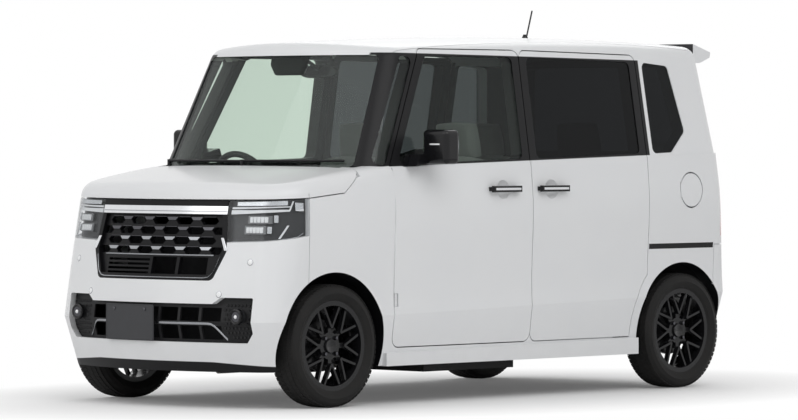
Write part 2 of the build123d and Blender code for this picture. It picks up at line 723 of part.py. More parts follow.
spoiler_line = polygon(
    (tailgate_axis_x, TAILGATE_AXIS_Z + EDGE_ROUND),
    SPOILER_TIP,
    (SPOILER_TIP[0] + GAP, SPOILER_TIP[1] - SPOILER_LIP),
    (ROOF_SEAM_X - WALL, SPOILER_ROOT_Z),
    (tailgate_axis_x, SPOILER_ROOT_Z),
)
tailgate += side_prism(spoiler_line, -SPOILER_HALF_WIDTH, SPOILER_HALF_WIDTH)
tailgate_leaves = []
for side in (1, -1):
    pivot = (tailgate_axis_x, side * TAILGATE_HINGE_Y, TAILGATE_AXIS_Z)
    place = Plane(origin=pivot, x_dir=(1, 0, 0), z_dir=(0, -1, 0))
    leaf, room = hinge(place)
    tailgate_leaves.append(leaf)
    tailgate -= room
tailgate -= rounded_edge(place, 2 * FAR)

# Windows and fixed panels
for outline in (rear_quarter_window, front_quarter_window):
    rest.solid -= side_prism(outline, -FAR, FAR)
rest.solid -= front_prism(windscreen_outline, 0, FAR)
roof = rest.take(block(ROOF_SEAM_X - GAP, FAR, -ROOF_SIDE_Y, ROOF_SIDE_Y, ROOF_SIDE_Z, FAR))
for leaf in tailgate_leaves:
    roof += leaf
rear_bumper = rest.take(side_prism(rear_bumper_line, -FAR, FAR))
tail_lamps = rest.take(block(-FAR, TAIL_LAMP_X, -FAR, FAR, TAIL_LAMP_LOW, TAIL_LAMP_HIGH))

# Front face: bright bar, grille, lower opening, bumper and lamps
grille_outline = symmetric(*GRILLE_EDGE, round_by=GRILLE_ROUND)
lower_outline = symmetric(*LOWER_EDGE, round_by=GROOVE_DEPTH)
face_layer = nose_form(FACE_RECESS)
mesh_layer = nose_form(GRILLE_RECESS)


def ahead_of(outline):
    """An outline of the front face run back to the bumper's seam."""
    return front_prism(outline, BUMPER_SEAM_X, FAR)


def window_of(y_low, y_high, z_low, z_high):
    """A rectangle in front view."""
    return Pos((y_low + y_high) / 2, (z_low + z_high) / 2) * Rectangle(y_high - y_low, z_high - z_low)


over_grille = block(BUMPER_SEAM_X, FAR, -GRILLE_BAR_HALF, GRILLE_BAR_HALF, GRILLE_BAR_LOW, FAR)
bar_outline = window_of(-GRILLE_BAR_HALF, GRILLE_BAR_HALF, GRILLE_BAR_LOW, GRILLE_TOP)
grille_bar = rest.take(ahead_of(bar_outline) - mesh_layer)
front_grille = rest.take(ahead_of(grille_outline) + over_grille)
inside_frame = grown(grille_outline, -GRILLE_FRAME) - window_of(-FAR, FAR, GRILLE_BAR_LOW - GROOVE_WIDTH, FAR)
front_grille -= ahead_of(inside_frame) - mesh_layer
hex_wide, hex_high = HEX_SIZE[0] / 2, HEX_SIZE[1] / 2
hex_hole = symmetric((hex_wide - hex_high, hex_high), (hex_wide, 0), (hex_wide - hex_high, -hex_high))
grille_holes = Sketch()
for row, count in enumerate(HEX_ROWS):
    for index in range(count):
        across = (index - (count - 1) / 2) * HEX_PITCH[0]
        grille_holes += Pos(across, HEX_TOP_Z - row * HEX_PITCH[1]) * hex_hole
louvre_pitch = (LOUVRE_HIGH_Z - LOUVRE_LOW_Z) / LOUVRE_COUNT
for index in range(LOUVRE_COUNT):
    low = LOUVRE_LOW_Z + index * louvre_pitch
    grille_holes += window_of(*LOUVRE_SPAN, low, low + LOUVRE_OPEN)
for span in SHUTTER_SPANS:
    grille_holes += window_of(*span, LOUVRE_LOW_Z, LOUVRE_HIGH_Z)
front_grille -= ahead_of(grille_holes & inside_frame)
lower_grille = rest.take(ahead_of(lower_outline)) & face_layer
lower_slots = Sketch()
slot_pitch = 2 * LOWER_SLOT_SPAN / LOWER_SLOT_COUNT
for heights in LOWER_SLOT_Z:
    for index in range(LOWER_SLOT_COUNT):
        start = index * slot_pitch - LOWER_SLOT_SPAN
        lower_slots += window_of(start + LOWER_SLOT_WEB, start + slot_pitch, *heights)
lower_grille -= ahead_of(lower_slots)
fog_lamps = []
for side in (1, -1):
    fog_front, fog_back = [(FOG_FACE_X - back, side * FOG_Y, FOG_Z) for back in (0, FOG_LENGTH)]
    fog_lamps.append(rod(fog_back, fog_front, FOG_RADIUS))
    lower_grille -= rod(fog_back, fog_front, FOG_RADIUS + SEAT)
bumper_line = polygon(
    (BUMPER_SEAM_X, 0),
    (FAR, 0),
    (FAR, LAMP_LOW_Z),
    (LAMP_KNEE_X, LAMP_LOW_Z),
    (BUMPER_SEAM_X, LAMP_SIDE_Z),
)
front_bumper = rest.take(side_prism(bumper_line, -FAR, FAR))
lamp_zone = rest.take(block(BUMPER_SEAM_X, FAR, -FAR, FAR, 0, FAR))
headlamps = lamp_zone - nose_form(LENS)
lamp_housings = lamp_zone & face_layer
fenders = rest.take(ahead - nose_form(SKIN, SKIN) - cab_column)
floor_pan = rest.take(block(TAILGATE_INNER_X - WALL, FAR, *floor_width, 0, REAR_FLOOR_TOP))
floor_pan += rest.take(block(FIREWALL_X, FAR, *floor_width, 0, FAR))
floor_pan += bonnet_leaves
skirt_line = polygon(
    (SKIRT_FRONT_X, SKIRT_BOTTOM),
    (SKIRT_FRONT_X, SKIRT_TOP[0]),
    (SKIRT_REAR_X, SKIRT_TOP[1]),
    (SKIRT_REAR_X, SKIRT_BOTTOM),
)
right_skirt = side_prism(skirt_line, -SKIRT_OUTER_Y, -SKIRT_INNER_Y)
right_side_frame = rest.solid & block(-FAR, FAR, -FAR, 0, 0, FAR)
right_side_frame += right_skirt - fenders
rail_heights = (RAIL_Z - RAIL_HEIGHT / 2, RAIL_Z + RAIL_HEIGHT / 2)
rail_groove = block(REAR_BUMPER_X + GAP, RAIL_FRONT_X, -FAR, 0, *rail_heights)
right_side_frame -= rail_groove - groove_bed
right_rail = lower_form(RAIL_SINK) & rail_groove - groove_bed
right_side_frame += [mirrored(leaf) for leaf in door_leaves]
right_side_frame += block(
    SILL_RAIL_REAR_X,
    DOOR_SPLIT_X - PILLAR,
    -SILL_RAIL_Y,
    GROOVE_WIDTH - SILL_RAIL_Y,
    SILL_RAIL_LOW,
    DOOR_BOTTOM + GAP / 2 - SEAT,
)
left_side_frame = mirrored(right_side_frame)

# Fuel flap with its pocket and filler cap, on the left
flap_skin = lower_form() - lower_form(FLAP_THICKNESS)
flap_axis_x = FLAP_X + FLAP_RADIUS - GAP / 2 - FLAP_PIN_INSET
fuel_flap = flap_skin & cross_cylinder(FLAP_X, FLAP_Z, FLAP_RADIUS - GAP / 2, 0, FAR)
flap_edge = fuel_flap & block(flap_axis_x, FAR, 0, FAR, FLAP_Z - GAP, FLAP_Z + GAP)
flap_axis_y = flap_edge.bounding_box().max.Y - FLAP_AXIS_DEPTH
fuel_flap -= block(flap_axis_x, FAR, 0, FAR, 0, FAR)
flap_ends = (FLAP_Z - FLAP_PIN_LENGTH / 2, FLAP_Z + FLAP_PIN_LENGTH / 2)
fuel_flap += upright(flap_axis_x, flap_axis_y, *flap_ends, FLAP_PIN_RADIUS)
pocket_floor_y = flap_axis_y - FLAP_POCKET
left_side_frame -= cross_cylinder(FLAP_X, FLAP_Z, FLAP_RADIUS + GAP, pocket_floor_y, FAR)
left_side_frame -= block(
    flap_axis_x,
    flap_axis_x + FLAP_AXIS_DEPTH + GAP,
    pocket_floor_y,
    FAR,
    FLAP_Z - FLAP_NOTCH / 2,
    FLAP_Z + FLAP_NOTCH / 2,
)
left_side_frame -= upright(
    flap_axis_x, flap_axis_y, flap_ends[0] - SEAT, flap_ends[1] + SEAT, FLAP_PIN_RADIUS + PIN_CLEARANCE
)
cap_face_y = flap_axis_y - FLAP_POCKET / 3
left_side_frame += cross_cylinder(FLAP_X, FLAP_Z, FILLER_RADIUS, pocket_floor_y - GAP, cap_face_y)

# Wheel housings, open outwards and below
for x, low in ((FRONT_AXLE_X, FRONT_WELL_LOW), (REAR_AXLE_X, REAR_FLOOR_BOTTOM)):
    drum = cross_cylinder(x, ARCH_Z, ARCH_RADIUS + WELL_WALL, WELL_INNER_Y - WELL_WALL, HALF_WIDTH)
    drum -= cross_cylinder(x, ARCH_Z, ARCH_RADIUS, WELL_INNER_Y, FAR)
    drum &= block(-FAR, FAR, 0, FAR, low, FAR)
    drum -= [left_side_frame, fenders, front_bumper, rear_bumper]
    drum = drum.solids().sort_by(SortBy.VOLUME)[-1]
    floor_pan += [drum, mirrored(drum)]

# Panes
side_glass = [side_pane(outline) for outline in (front_quarter_window, sliding_window, rear_quarter_window)]
side_glass += [mirrored(pane) for pane in side_glass]
left_front_glass = side_pane(front_window)
windscreen = panes & front_prism(grown(windscreen_outline, -SEAT), 0, FAR)
tailgate_glass = panes & front_prism(grown(tailgate_window, -SEAT), -FAR, 0)


# Handles and mirrors, on the left
def handle(x):
    """A pull handle on two feet, standing off the door skin."""
    grip = Pos(0, HANDLE_STANDOFF + HANDLE_DEPTH / 2, 0) * Box(HANDLE_LENGTH, HANDLE_DEPTH, HANDLE_HEIGHT)
    grip = fillet(grip.edges().group_by(Axis.Y)[-1], HANDLE_DEPTH / 3)
    for end in (-1, 1):
        foot = Box(HANDLE_HEIGHT, HANDLE_STANDOFF + HANDLE_FOOT, 2 * HANDLE_HEIGHT / 3)
        foot_x = end * (HANDLE_LENGTH / 2 - HANDLE_HEIGHT / 2)
        grip += Pos(foot_x, (HANDLE_STANDOFF - HANDLE_FOOT) / 2, 0) * foot
    return Pos(x, HANDLE_SKIN_Y, HANDLE_Z) * grip


def cup(x):
    """The shallow finger recess behind a handle."""
    return Pos(x, HANDLE_SKIN_Y + CUP_RADIUS - CUP_DEPTH, HANDLE_Z) * Sphere(CUP_RADIUS)


left_front_door -= cup(FRONT_HANDLE_X)
right_front_door -= mirrored(cup(FRONT_HANDLE_X))
left_sliding_door -= cup(SLIDING_HANDLE_X)
right_sliding_door -= mirrored(cup(SLIDING_HANDLE_X))
front_handle = handle(FRONT_HANDLE_X) - left_front_door
sliding_handle = handle(SLIDING_HANDLE_X) - left_sliding_door
mirror_shell = block(-MIRROR_DEPTH / 2, MIRROR_DEPTH / 2, 0, MIRROR_WIDTH, 0, MIRROR_HEIGHT)
mirror_shell = fillet(mirror_shell.edges(), MIRROR_ROUND)
mirror_shell = Pos(MIRROR_X, MIRROR_Y, MIRROR_Z) * mirror_shell
mirror_foot = side_prism(
    polygon(*[(MIRROR_X + ahead_by, MIRROR_Z + up_by) for ahead_by, up_by in MIRROR_FOOT]),
    MIRROR_FOOT_Y,
    MIRROR_Y + MIRROR_WIDTH / 4,
)
left_mirror = mirror_shell + mirror_foot - left_front_door - left_front_glass
left_mirror = left_mirror.solids().sort_by(SortBy.VOLUME)[-1]

# Cabin
dash_back = [(FIREWALL_X, height) for height in DASH_BACK_Z]
dash_outline = polygon(*dash_back, *DASH_FACE, round_by=DASH_ROUND)
dashboard = side_prism(dash_outline, -DASH_HALF_WIDTH, DASH_HALF_WIDTH)
steer_axis = (-cos(radians(STEER_TILT)), 0, sin(radians(STEER_TILT)))
steering_wheel = Plane(origin=STEER_CENTRE, z_dir=steer_axis) * (
    Torus(STEER_RADIUS, STEER_GRIP)
    + Cylinder(STEER_HUB, 2 * STEER_GRIP)
    + Box(STEER_SPOKE, 2 * STEER_RADIUS, STEER_GRIP)
    + Pos(0, 0, -STEER_COLUMN / 2) * Cylinder(STEER_COLUMN_RADIUS, STEER_COLUMN)
)
steering_wheel -= dashboard


def seat(width, x, y):
    """A seat on its plinth: cushion, leaning back and head restraint, x at the rear of the cushion."""
    profile = polygon(*[(x + ahead_by, z) for ahead_by, z in SEAT_PROFILE], round_by=SEAT_ROUND)
    body = side_prism(profile, y - width / 2, y + width / 2)
    plinth_x = [x + ahead_by for ahead_by in SEAT_PLINTH_X]
    body += block(*plinth_x, y - width / 3, y + width / 3, FLOOR_TOP, SEAT_PLINTH_TOP)
    return body


def head_rest(x, y):
    """A head restraint standing on a seat back."""
    pad = Pos(x - REST_BACK, y, REST_Z) * Rot(0, -REST_LEAN, 0) * Box(*REST_SIZE)
    pad = fillet(pad.edges(), REST_ROUND)
    for post_y in (y - POST_SPREAD, y + POST_SPREAD):
        foot, head = [(x - back, post_y, z) for back, z in (POST_FOOT, POST_HEAD)]
        pad += rod(foot, head, POST_RADIUS)
    return pad


front_seats = []
for side in (1, -1):
    chair = seat(SEAT_WIDTH, FRONT_SEAT_X, side * SEAT_Y)
    front_seats.append(chair + head_rest(FRONT_SEAT_X, side * SEAT_Y))
rear_seat = seat(2 * SEAT_Y + SEAT_WIDTH, REAR_SEAT_X, 0)
for side in (1, -1):
    rear_seat += head_rest(REAR_SEAT_X, side * SEAT_Y)

# Engine, subframe, axle, exhaust and tank
engine = block(*ENGINE_X, -ENGINE_HALF_WIDTH, ENGINE_HALF_WIDTH, SUBFRAME_TOP, ENGINE_TOP)
radiator = block(*RADIATOR_X, -RADIATOR_HALF_WIDTH, RADIATOR_HALF_WIDTH, SUBFRAME_TOP, RADIATOR_TOP)
subframe_low = SUBFRAME_TOP - SUBFRAME_DEPTH
front_subframe = block(
    FIREWALL_X + SKIN, SUBFRAME_FRONT_X, -SUBFRAME_HALF_WIDTH, SUBFRAME_HALF_WIDTH, subframe_low, SUBFRAME_TOP
)
front_subframe -= block(*SUBFRAME_OPEN_X, -SUBFRAME_OPEN_HALF, SUBFRAME_OPEN_HALF, 0, FAR)
arm_top = ARM_Z + LOWER_ARM_THICK
lower_arm = block(
    FRONT_AXLE_X - LOWER_ARM_HALF,
    FRONT_AXLE_X + LOWER_ARM_HALF,
    LOWER_ARM_INNER_Y,
    KING_Y + LOWER_ARM_END,
    ARM_Z,
    arm_top,
)
lower_arm += block(
    FRONT_AXLE_X - ARM_LUG_HALF,
    FRONT_AXLE_X + ARM_LUG_HALF,
    LOWER_ARM_INNER_Y,
    SUBFRAME_HALF_WIDTH,
    ARM_Z,
    SUBFRAME_TOP - ARM_LUG_DROP,
)
lower_arm -= upright(FRONT_AXLE_X, KING_Y, 0, FAR, KING_RADIUS + STUB_CLEARANCE)
front_subframe += [lower_arm, mirrored(lower_arm)]
hub_end = WHEEL_Y + HUB_FACE
left_knuckle = cross_cylinder(FRONT_AXLE_X, TYRE_RADIUS, STUB_RADIUS, KING_Y, hub_end)
left_knuckle += block(
    FRONT_AXLE_X - KNUCKLE_HALF[0],
    FRONT_AXLE_X + KNUCKLE_HALF[0],
    KING_Y - KNUCKLE_HALF[1],
    KING_Y + KNUCKLE_HALF[1],
    arm_top + SEAT,
    KNUCKLE_TOP,
)
left_knuckle += upright(FRONT_AXLE_X, KING_Y, ARM_Z, KING_TOP, KING_RADIUS)
strut_foot, strut_head = [(FRONT_AXLE_X, KING_Y - inward, z) for inward, z in (STRUT_FOOT, STRUT_HEAD)]
left_knuckle += rod(strut_foot, strut_head, STRUT_RADIUS)
rear_axle = cross_cylinder(REAR_AXLE_X, TYRE_RADIUS, STUB_RADIUS, -hub_end, hub_end)
rear_axle += cross_cylinder(REAR_AXLE_X, TYRE_RADIUS, BEAM_RADIUS, BEAM_SHORT - WHEEL_Y, WHEEL_Y - BEAM_SHORT)
trail_arm = block(REAR_AXLE_X, KICK_X - KICK_WALL, *TRAIL_ARM_Y, *TRAIL_ARM_Z)
rear_axle += [trail_arm, mirrored(trail_arm)]
pipe_front, pipe_bend = [(x, PIPE_Y, PIPE_Z) for x in (PIPE_FRONT_X, SILENCER_X[1])]
exhaust = rod(pipe_front, pipe_bend, PIPE_RADIUS)
exhaust += block(*SILENCER_X, *SILENCER_Y, SILENCER_LOW, REAR_FLOOR_BOTTOM)
exhaust += rod(pipe_bend, (SILENCER_X[1] - PIPE_RISE[0], PIPE_Y, PIPE_RISE[1]), PIPE_RADIUS)
fuel_tank = block(*TANK_X, *TANK_Y, *TANK_Z) - floor_pan


# Wheels
def bar(start, end, width, low, high):
    """A straight bar in the wheel's plane between two points, from one depth to another."""
    a, b = Vector(*start), Vector(*end)
    middle = (a + b) / 2
    turn = Rot(0, 0, Vector(1, 0, 0).get_signed_angle(b - a, Vector(0, 0, 1)))
    return Pos(middle.X, middle.Y, (low + high) / 2) * turn * Box((b - a).length, width, high - low)


def polar(radius, angle):
    """A point in the wheel's plane."""
    return (radius * cos(radians(angle)), radius * sin(radians(angle)), 0)


half_rim = RIM_WIDTH / 2
barrel_outline = polygon(
    (RIM_RADIUS, -half_rim + RIM_WALL),
    (RIM_RADIUS, half_rim - RIM_WALL),
    (RIM_RADIUS + FLANGE_HEIGHT, half_rim - RIM_WALL),
    (RIM_RADIUS + FLANGE_HEIGHT, half_rim),
    (RIM_RADIUS - RIM_WALL, half_rim),
    (RIM_RADIUS - 2 * RIM_WALL, 0),
    (RIM_RADIUS - RIM_WALL, -half_rim),
    (RIM_RADIUS + FLANGE_HEIGHT, -half_rim),
    (RIM_RADIUS + FLANGE_HEIGHT, -half_rim + RIM_WALL),
)
wheel_rim = revolve(Plane.XZ * barrel_outline, Axis.Z)
face_low, face_high = half_rim - RIM_WALL - ARM_DEPTH, half_rim - RIM_WALL
wheel_rim += Pos(0, 0, (HUB_FACE + DISC_OFFSET) / 2) * Cylinder(HUB_RADIUS, HUB_FACE - DISC_OFFSET)
wheel_rim += Pos(0, 0, DISC_OFFSET + DISC_THICKNESS / 2) * Cylinder(DISC_RADIUS, DISC_THICKNESS)
rim_inner = RIM_RADIUS - RIM_WALL - SPOKE_END
for index in range(SPOKE_PAIRS):
    angle = 90 + index * 360 / SPOKE_PAIRS
    root, fork_top = polar(HUB_RADIUS - SPOKE_LAP, angle), polar(FORK_RADIUS + SPOKE_LAP, angle)
    wheel_rim += bar(root, fork_top, 2 * ARM_WIDTH, HUB_FACE - ARM_DEPTH, HUB_FACE)
    for spread in (-FORK_SPREAD, FORK_SPREAD):
        tip = polar(rim_inner, angle + spread)
        wheel_rim += bar(polar(FORK_RADIUS, angle), tip, ARM_WIDTH, face_low, face_high)
wheel_rim -= Cylinder(STUB_RADIUS + STUB_CLEARANCE, FAR)
half_tyre = TYRE_WIDTH / 2
bead = half_rim - RIM_WALL - SEAT
flange_top = RIM_RADIUS + FLANGE_HEIGHT + SEAT
# One side of the tyre from bead to tread, as radius and place across
tyre_side = [
    (RIM_RADIUS + SEAT, bead),
    (flange_top, bead),
    (flange_top, half_rim),
    (RIM_RADIUS + TYRE_FOOT[0], half_tyre - TYRE_FOOT[1]),
    ((RIM_RADIUS + TYRE_RADIUS) / 2 + TYRE_BULGE, half_tyre),
    (TYRE_RADIUS - TYRE_SHOULDER[0], half_tyre - TYRE_SHOULDER[1]),
    (TYRE_RADIUS - TYRE_EDGE[0], half_tyre - TYRE_EDGE[1]),
]
tyre_outline = polygon(*tyre_side, (TYRE_RADIUS, 0), *[(r, -across) for r, across in reversed(tyre_side)])
wheel_tyre = revolve(Plane.XZ * tyre_outline, Axis.Z)

# Small fixed pieces
antenna = rod((ANTENNA_X, 0, ROOF_HEIGHT - ANTENNA_SINK), (ANTENNA_TIP[0], 0, ANTENNA_TIP[1]), ANTENNA_RADIUS)
antenna += Pos(ANTENNA_X, 0, ROOF_HEIGHT) * Cone(*ANTENNA_FOOT)
antenna -= roof


def on_windscreen(y, share, stand):
    """A point of the windscreen at a share of its height, stood off forward."""
    x = z = 0.0
    for row, weight in zip(GLASSHOUSE, (1 - share, share)):
        reach = row.half_width - row.front_taper
        radius = (reach**2 + row.nose_drop**2) / (2 * row.nose_drop)
        bow = row.nose - radius + (radius**2 - y**2) ** 0.5
        x += weight * bow
        z += weight * (row.z - row.rake * bow)
    return x + stand, y, z


wipers = []
for span in WIPER_SPANS:
    outer_end, middle, inner_end = [on_windscreen(y, WIPER_SHARE, WIPER_STAND) for y in span]
    run = ThreePointArc(outer_end, middle, inner_end)
    wiper = sweep(Plane(origin=run @ 0, z_dir=run % 0) * Circle(WIPER_RADIUS), path=run)
    pivot_x, pivot_y, _ = on_windscreen(span[2], 0, COWL_STRIP / 2)
    wiper += upright(pivot_x, pivot_y, COWL_LOW_Z, middle[2] + WIPER_RADIUS, WIPER_PIVOT_RADIUS)
    arm_end = on_windscreen(span[1], WIPER_SHARE, WIPER_STAND + WIPER_ARM_SINK)
    wiper += rod((pivot_x, pivot_y, middle[2] + WIPER_ARM_LIFT), arm_end, WIPER_RADIUS)
    wiper = wiper - cowl - windscreen
    wipers.append(wiper.solids().sort_by(SortBy.VOLUME)[-1])

nodes = {
    "floor_pan": floor_pan,
    "left_side_frame": left_side_frame,
    "right_side_frame": right_side_frame,
    "roof": roof,
    "cowl": cowl,
    "front_fenders": fenders,
    "front_bumper": front_bumper,
    "front_grille": front_grille,
    "grille_bar": grille_bar,
    "lower_grille": lower_grille,
    "fog_lamps": Compound(fog_lamps),
    "headlamps": headlamps,
    "lamp_housings": lamp_housings,
    "radiator": radiator,
    "slide_rails": Compound([right_rail, mirrored(right_rail)]),
    "wipers": Compound(wipers),
    "rear_bumper": rear_bumper,
    "tail_lamps": tail_lamps,
    "windscreen": windscreen,
    "side_glass": Compound(side_glass),
    "left_sliding_door": left_sliding_door,
    "right_sliding_door": right_sliding_door,
    "sliding_door_handles": Compound([sliding_handle, mirrored(sliding_handle)]),
    "antenna": antenna,
    "dashboard": dashboard,
    "steering_wheel": steering_wheel,
    "front_seats": Compound(front_seats),
    "rear_seat": rear_seat,
    "engine": engine,
    "front_subframe": front_subframe,
    "rear_axle": rear_axle,
    "exhaust": exhaust,
    "fuel_tank": fuel_tank,
    "bonnet": bonnet,
    "left_front_door": left_front_door,
    "right_front_door": right_front_door,
    "left_front_glass": left_front_glass,
    "right_front_glass": mirrored(left_front_glass),
    "left_mirror": left_mirror,
    "right_mirror": mirrored(left_mirror),
    "left_front_handle": front_handle,
    "right_front_handle": mirrored(front_handle),
    "tailgate": tailgate,
    "tailgate_glass": tailgate_glass,
    "fuel_flap": fuel_flap,
    "left_knuckle": left_knuckle,
    "right_knuckle": mirrored(left_knuckle),
}
corners = (
    ("front_left", FRONT_AXLE_X, 1),
    ("front_right", FRONT_AXLE_X, -1),
    ("rear_left", REAR_AXLE_X, 1),
    ("rear_right", REAR_AXLE_X, -1),
)
for corner, x, side in corners:
    place = Plane(origin=(x, side * WHEEL_Y, TYRE_RADIUS), x_dir=(side, 0, 0), z_dir=(0, side, 0))
    nodes[corner + "_rim"] = place * wheel_rim
    nodes[corner + "_tyre"] = place * wheel_tyre

os.makedirs("parts", exist_ok=True)
for name, piece in nodes.items():
    export_step(piece, f"parts/{name}.step")
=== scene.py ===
import json
from functools import partial
from math import copysign, cos, exp, pi, radians, sin

import bmesh
import bpy
from mathutils import Matrix, Vector
from mathutils.bvhtree import BVHTree


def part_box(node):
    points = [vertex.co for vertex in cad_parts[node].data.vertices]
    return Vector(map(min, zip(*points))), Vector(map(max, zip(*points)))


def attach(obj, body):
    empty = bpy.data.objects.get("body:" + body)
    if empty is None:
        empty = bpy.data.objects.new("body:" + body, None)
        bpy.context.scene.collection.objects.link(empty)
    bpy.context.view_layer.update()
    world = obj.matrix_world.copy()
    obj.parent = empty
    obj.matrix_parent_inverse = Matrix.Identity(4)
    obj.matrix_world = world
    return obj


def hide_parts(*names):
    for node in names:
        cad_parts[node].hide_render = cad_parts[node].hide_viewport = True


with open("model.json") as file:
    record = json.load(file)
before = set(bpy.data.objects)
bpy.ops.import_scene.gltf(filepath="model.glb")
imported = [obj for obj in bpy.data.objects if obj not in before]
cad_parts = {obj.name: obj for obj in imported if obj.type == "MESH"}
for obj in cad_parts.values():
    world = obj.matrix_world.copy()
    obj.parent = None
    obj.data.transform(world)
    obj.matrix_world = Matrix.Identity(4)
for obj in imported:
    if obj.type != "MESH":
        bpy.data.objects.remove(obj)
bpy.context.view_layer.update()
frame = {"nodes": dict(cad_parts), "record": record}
SIDES = ((1, "left"), (-1, "right"))
AXLES = (("front", 1.1845), ("rear", -1.2755))


# Materials
def operator(kind, swapped=False):
    """A method of Wire that adds one Math node."""
    def act(wire, *others):
        values = (*others, wire) if swapped else (wire, *others)
        return wire.finish.add("ShaderNodeMath", {"operation": kind}, dict(enumerate(values)))
    return act


class Wire:
    """A socket in a finish. Arithmetic on a number socket adds Math nodes."""

    def __init__(self, finish, socket):
        self.finish = finish
        self.socket = socket

    __add__ = operator("ADD")
    __radd__ = operator("ADD", True)
    __sub__ = operator("SUBTRACT")
    __rsub__ = operator("SUBTRACT", True)
    __mul__ = operator("MULTIPLY")
    __rmul__ = operator("MULTIPLY", True)
    __truediv__ = operator("DIVIDE")
    __rtruediv__ = operator("DIVIDE", True)
    __pow__ = operator("POWER")
    __rpow__ = operator("POWER", True)
    __abs__ = operator("ABSOLUTE")
    lowest = operator("MINIMUM")
    highest = operator("MAXIMUM")
    wave = operator("SINE")


class Finish:
    """One procedural material, built round a Principled shader."""

    def __init__(self, name, colour, roughness, **constants):
        self.material = bpy.data.materials.new(name)
        self.material.use_nodes = True
        self.tree = self.material.node_tree
        self.shader = self.tree.nodes["Principled BSDF"]
        self.plain = Wire(self, self.shader.outputs[0])
        self.shader.inputs["Base Color"].default_value = (*colour, 1.0)
        self.shader.inputs["Roughness"].default_value = roughness
        for socket, value in constants.items():
            self.shader.inputs[socket.replace("_", " ")].default_value = value

    def node(self, kind, settings=None, inputs=None):
        """Any node: its settings first, then the values or links of its sockets."""
        node = self.tree.nodes.new(kind)
        for key, value in (settings or {}).items():
            setattr(node, key, value)
        for key, value in (inputs or {}).items():
            if isinstance(value, Wire):
                self.tree.links.new(value.socket, node.inputs[key])
            else:
                node.inputs[key].default_value = value
        return node

    def add(self, kind, settings=None, inputs=None, output=0):
        """The same, giving one of the node's outputs."""
        return Wire(self, self.node(kind, settings, inputs).outputs[output])

    def axes(self, output):
        """A texture coordinate, whole and as its three numbers."""
        whole = self.add("ShaderNodeTexCoord", output=output)
        split = self.node("ShaderNodeSeparateXYZ", inputs={0: whole})
        return whole, [Wire(self, split.outputs[axis]) for axis in range(3)]

    def place(self):
        """Position on the piece at rest, in metres of the car's frame."""
        return self.axes("Object")

    def looking(self):
        """The direction that a face looks in, along the car's three axes."""
        return self.axes("Normal")[1]

    def noise(self, scale, detail, where):
        """Smooth noise, scale in cycles per metre."""
        return self.add("ShaderNodeTexNoise", {}, {"Vector": where, "Scale": scale, "Detail": detail})

    def blend(self, factor, first, second):
        """Two colours mixed by a number."""
        first, second = [(*c, 1.0) if isinstance(c, tuple) else c for c in (first, second)]
        return self.add("ShaderNodeMix", {"data_type": "RGBA"}, {0: factor, 6: first, 7: second}, output=2)

    def mix(self, factor, first, second):
        """Two shaders mixed by a number."""
        return self.add("ShaderNodeMixShader", {}, {0: factor, 1: first, 2: second})

    def show(self, surface):
        """Use a shader as the material's surface."""
        self.tree.links.new(surface.socket, self.tree.nodes["Material Output"].inputs["Surface"])

    def feed(self, socket, value):
        """Link what changes over the surface into the shader."""
        self.tree.links.new(value.socket, self.shader.inputs[socket])

    def bump(self, height, strength, distance):
        """Relief from a height value."""
        inputs = {"Height": height, "Strength": strength, "Distance": distance}
        self.feed("Normal", self.add("ShaderNodeBump", {}, inputs))


def step(value, edge, soft):
    """0 below an edge and 1 above it, over a short ramp."""
    return ((value - edge) / soft + 0.5).highest(0.0).lowest(1.0)


def scaled(colour, factor, lift=0.0):
    """A colour made lighter or darker."""
    return tuple(min(1.0, c * factor + lift) for c in colour)


PEARL_DEEP = (0.80, 0.812, 0.83)
PEARL_LIGHT = (0.85, 0.857, 0.862)
PEARL_FLAKE = (0.89, 0.90, 0.92)
ROAD_DUST = (0.50, 0.49, 0.47)
PAINT_BLACK = (0.006, 0.006, 0.007)
WALL_LINING = (0.05, 0.05, 0.054)
ROOF_LINING = (0.50, 0.50, 0.48)
CLEAR_COAT = 0.35
DUST_TOP = 0.30


def pearl_paint(name, mask=None, lined=None, lining=WALL_LINING):
    """White pearl paint: clear coat over fine flake. The mask gives its black areas, lined the cabin side."""
    paint = Finish(name, PEARL_LIGHT, 0.34, Coat_Roughness=0.16, Specular_IOR_Level=0.2)
    where, (x, y, z) = paint.place()
    flake = paint.noise(2400.0, 0.0, where)
    shade = paint.blend(paint.noise(3.0, 2.0, where), PEARL_DEEP, PEARL_LIGHT)
    shade = paint.blend(flake * 0.3, shade, PEARL_FLAKE)
    dust = (1.0 - step(z, DUST_TOP, 0.3)) * paint.noise(14.0, 3.0, where) * 0.16
    shade = paint.blend(dust, shade, ROAD_DUST)
    black = in_arch(x, z)
    if mask:
        black = black.highest(mask(x, y, z))
    shade = paint.blend(black, shade, PAINT_BLACK)
    coat = (CLEAR_COAT - dust) * (1.0 - black * 0.9)
    rough = 0.30 + flake * 0.08 + black * 0.06
    if lined:
        inside = lined(paint, y)
        shade = paint.blend(inside, shade, lining)
        coat = coat * (1.0 - inside)
        rough = rough + inside * 0.4
    paint.feed("Base Color", shade)
    paint.feed("Roughness", rough)
    paint.feed("Coat Weight", coat)
    paint.bump(paint.noise(260.0, 1.0, where), 0.02, 0.0004)
    return paint.material


def clouded(name, colours, roughness, drift, cloud, **constants):
    """A finish whose colour and roughness drift with smooth noise, with its position and that noise."""
    finish = Finish(name, colours[0], roughness, **constants)
    where, _ = finish.place()
    haze = finish.noise(*cloud, where)
    finish.feed("Base Color", finish.blend(haze, *colours))
    finish.feed("Roughness", roughness + haze * drift)
    return finish, where, haze


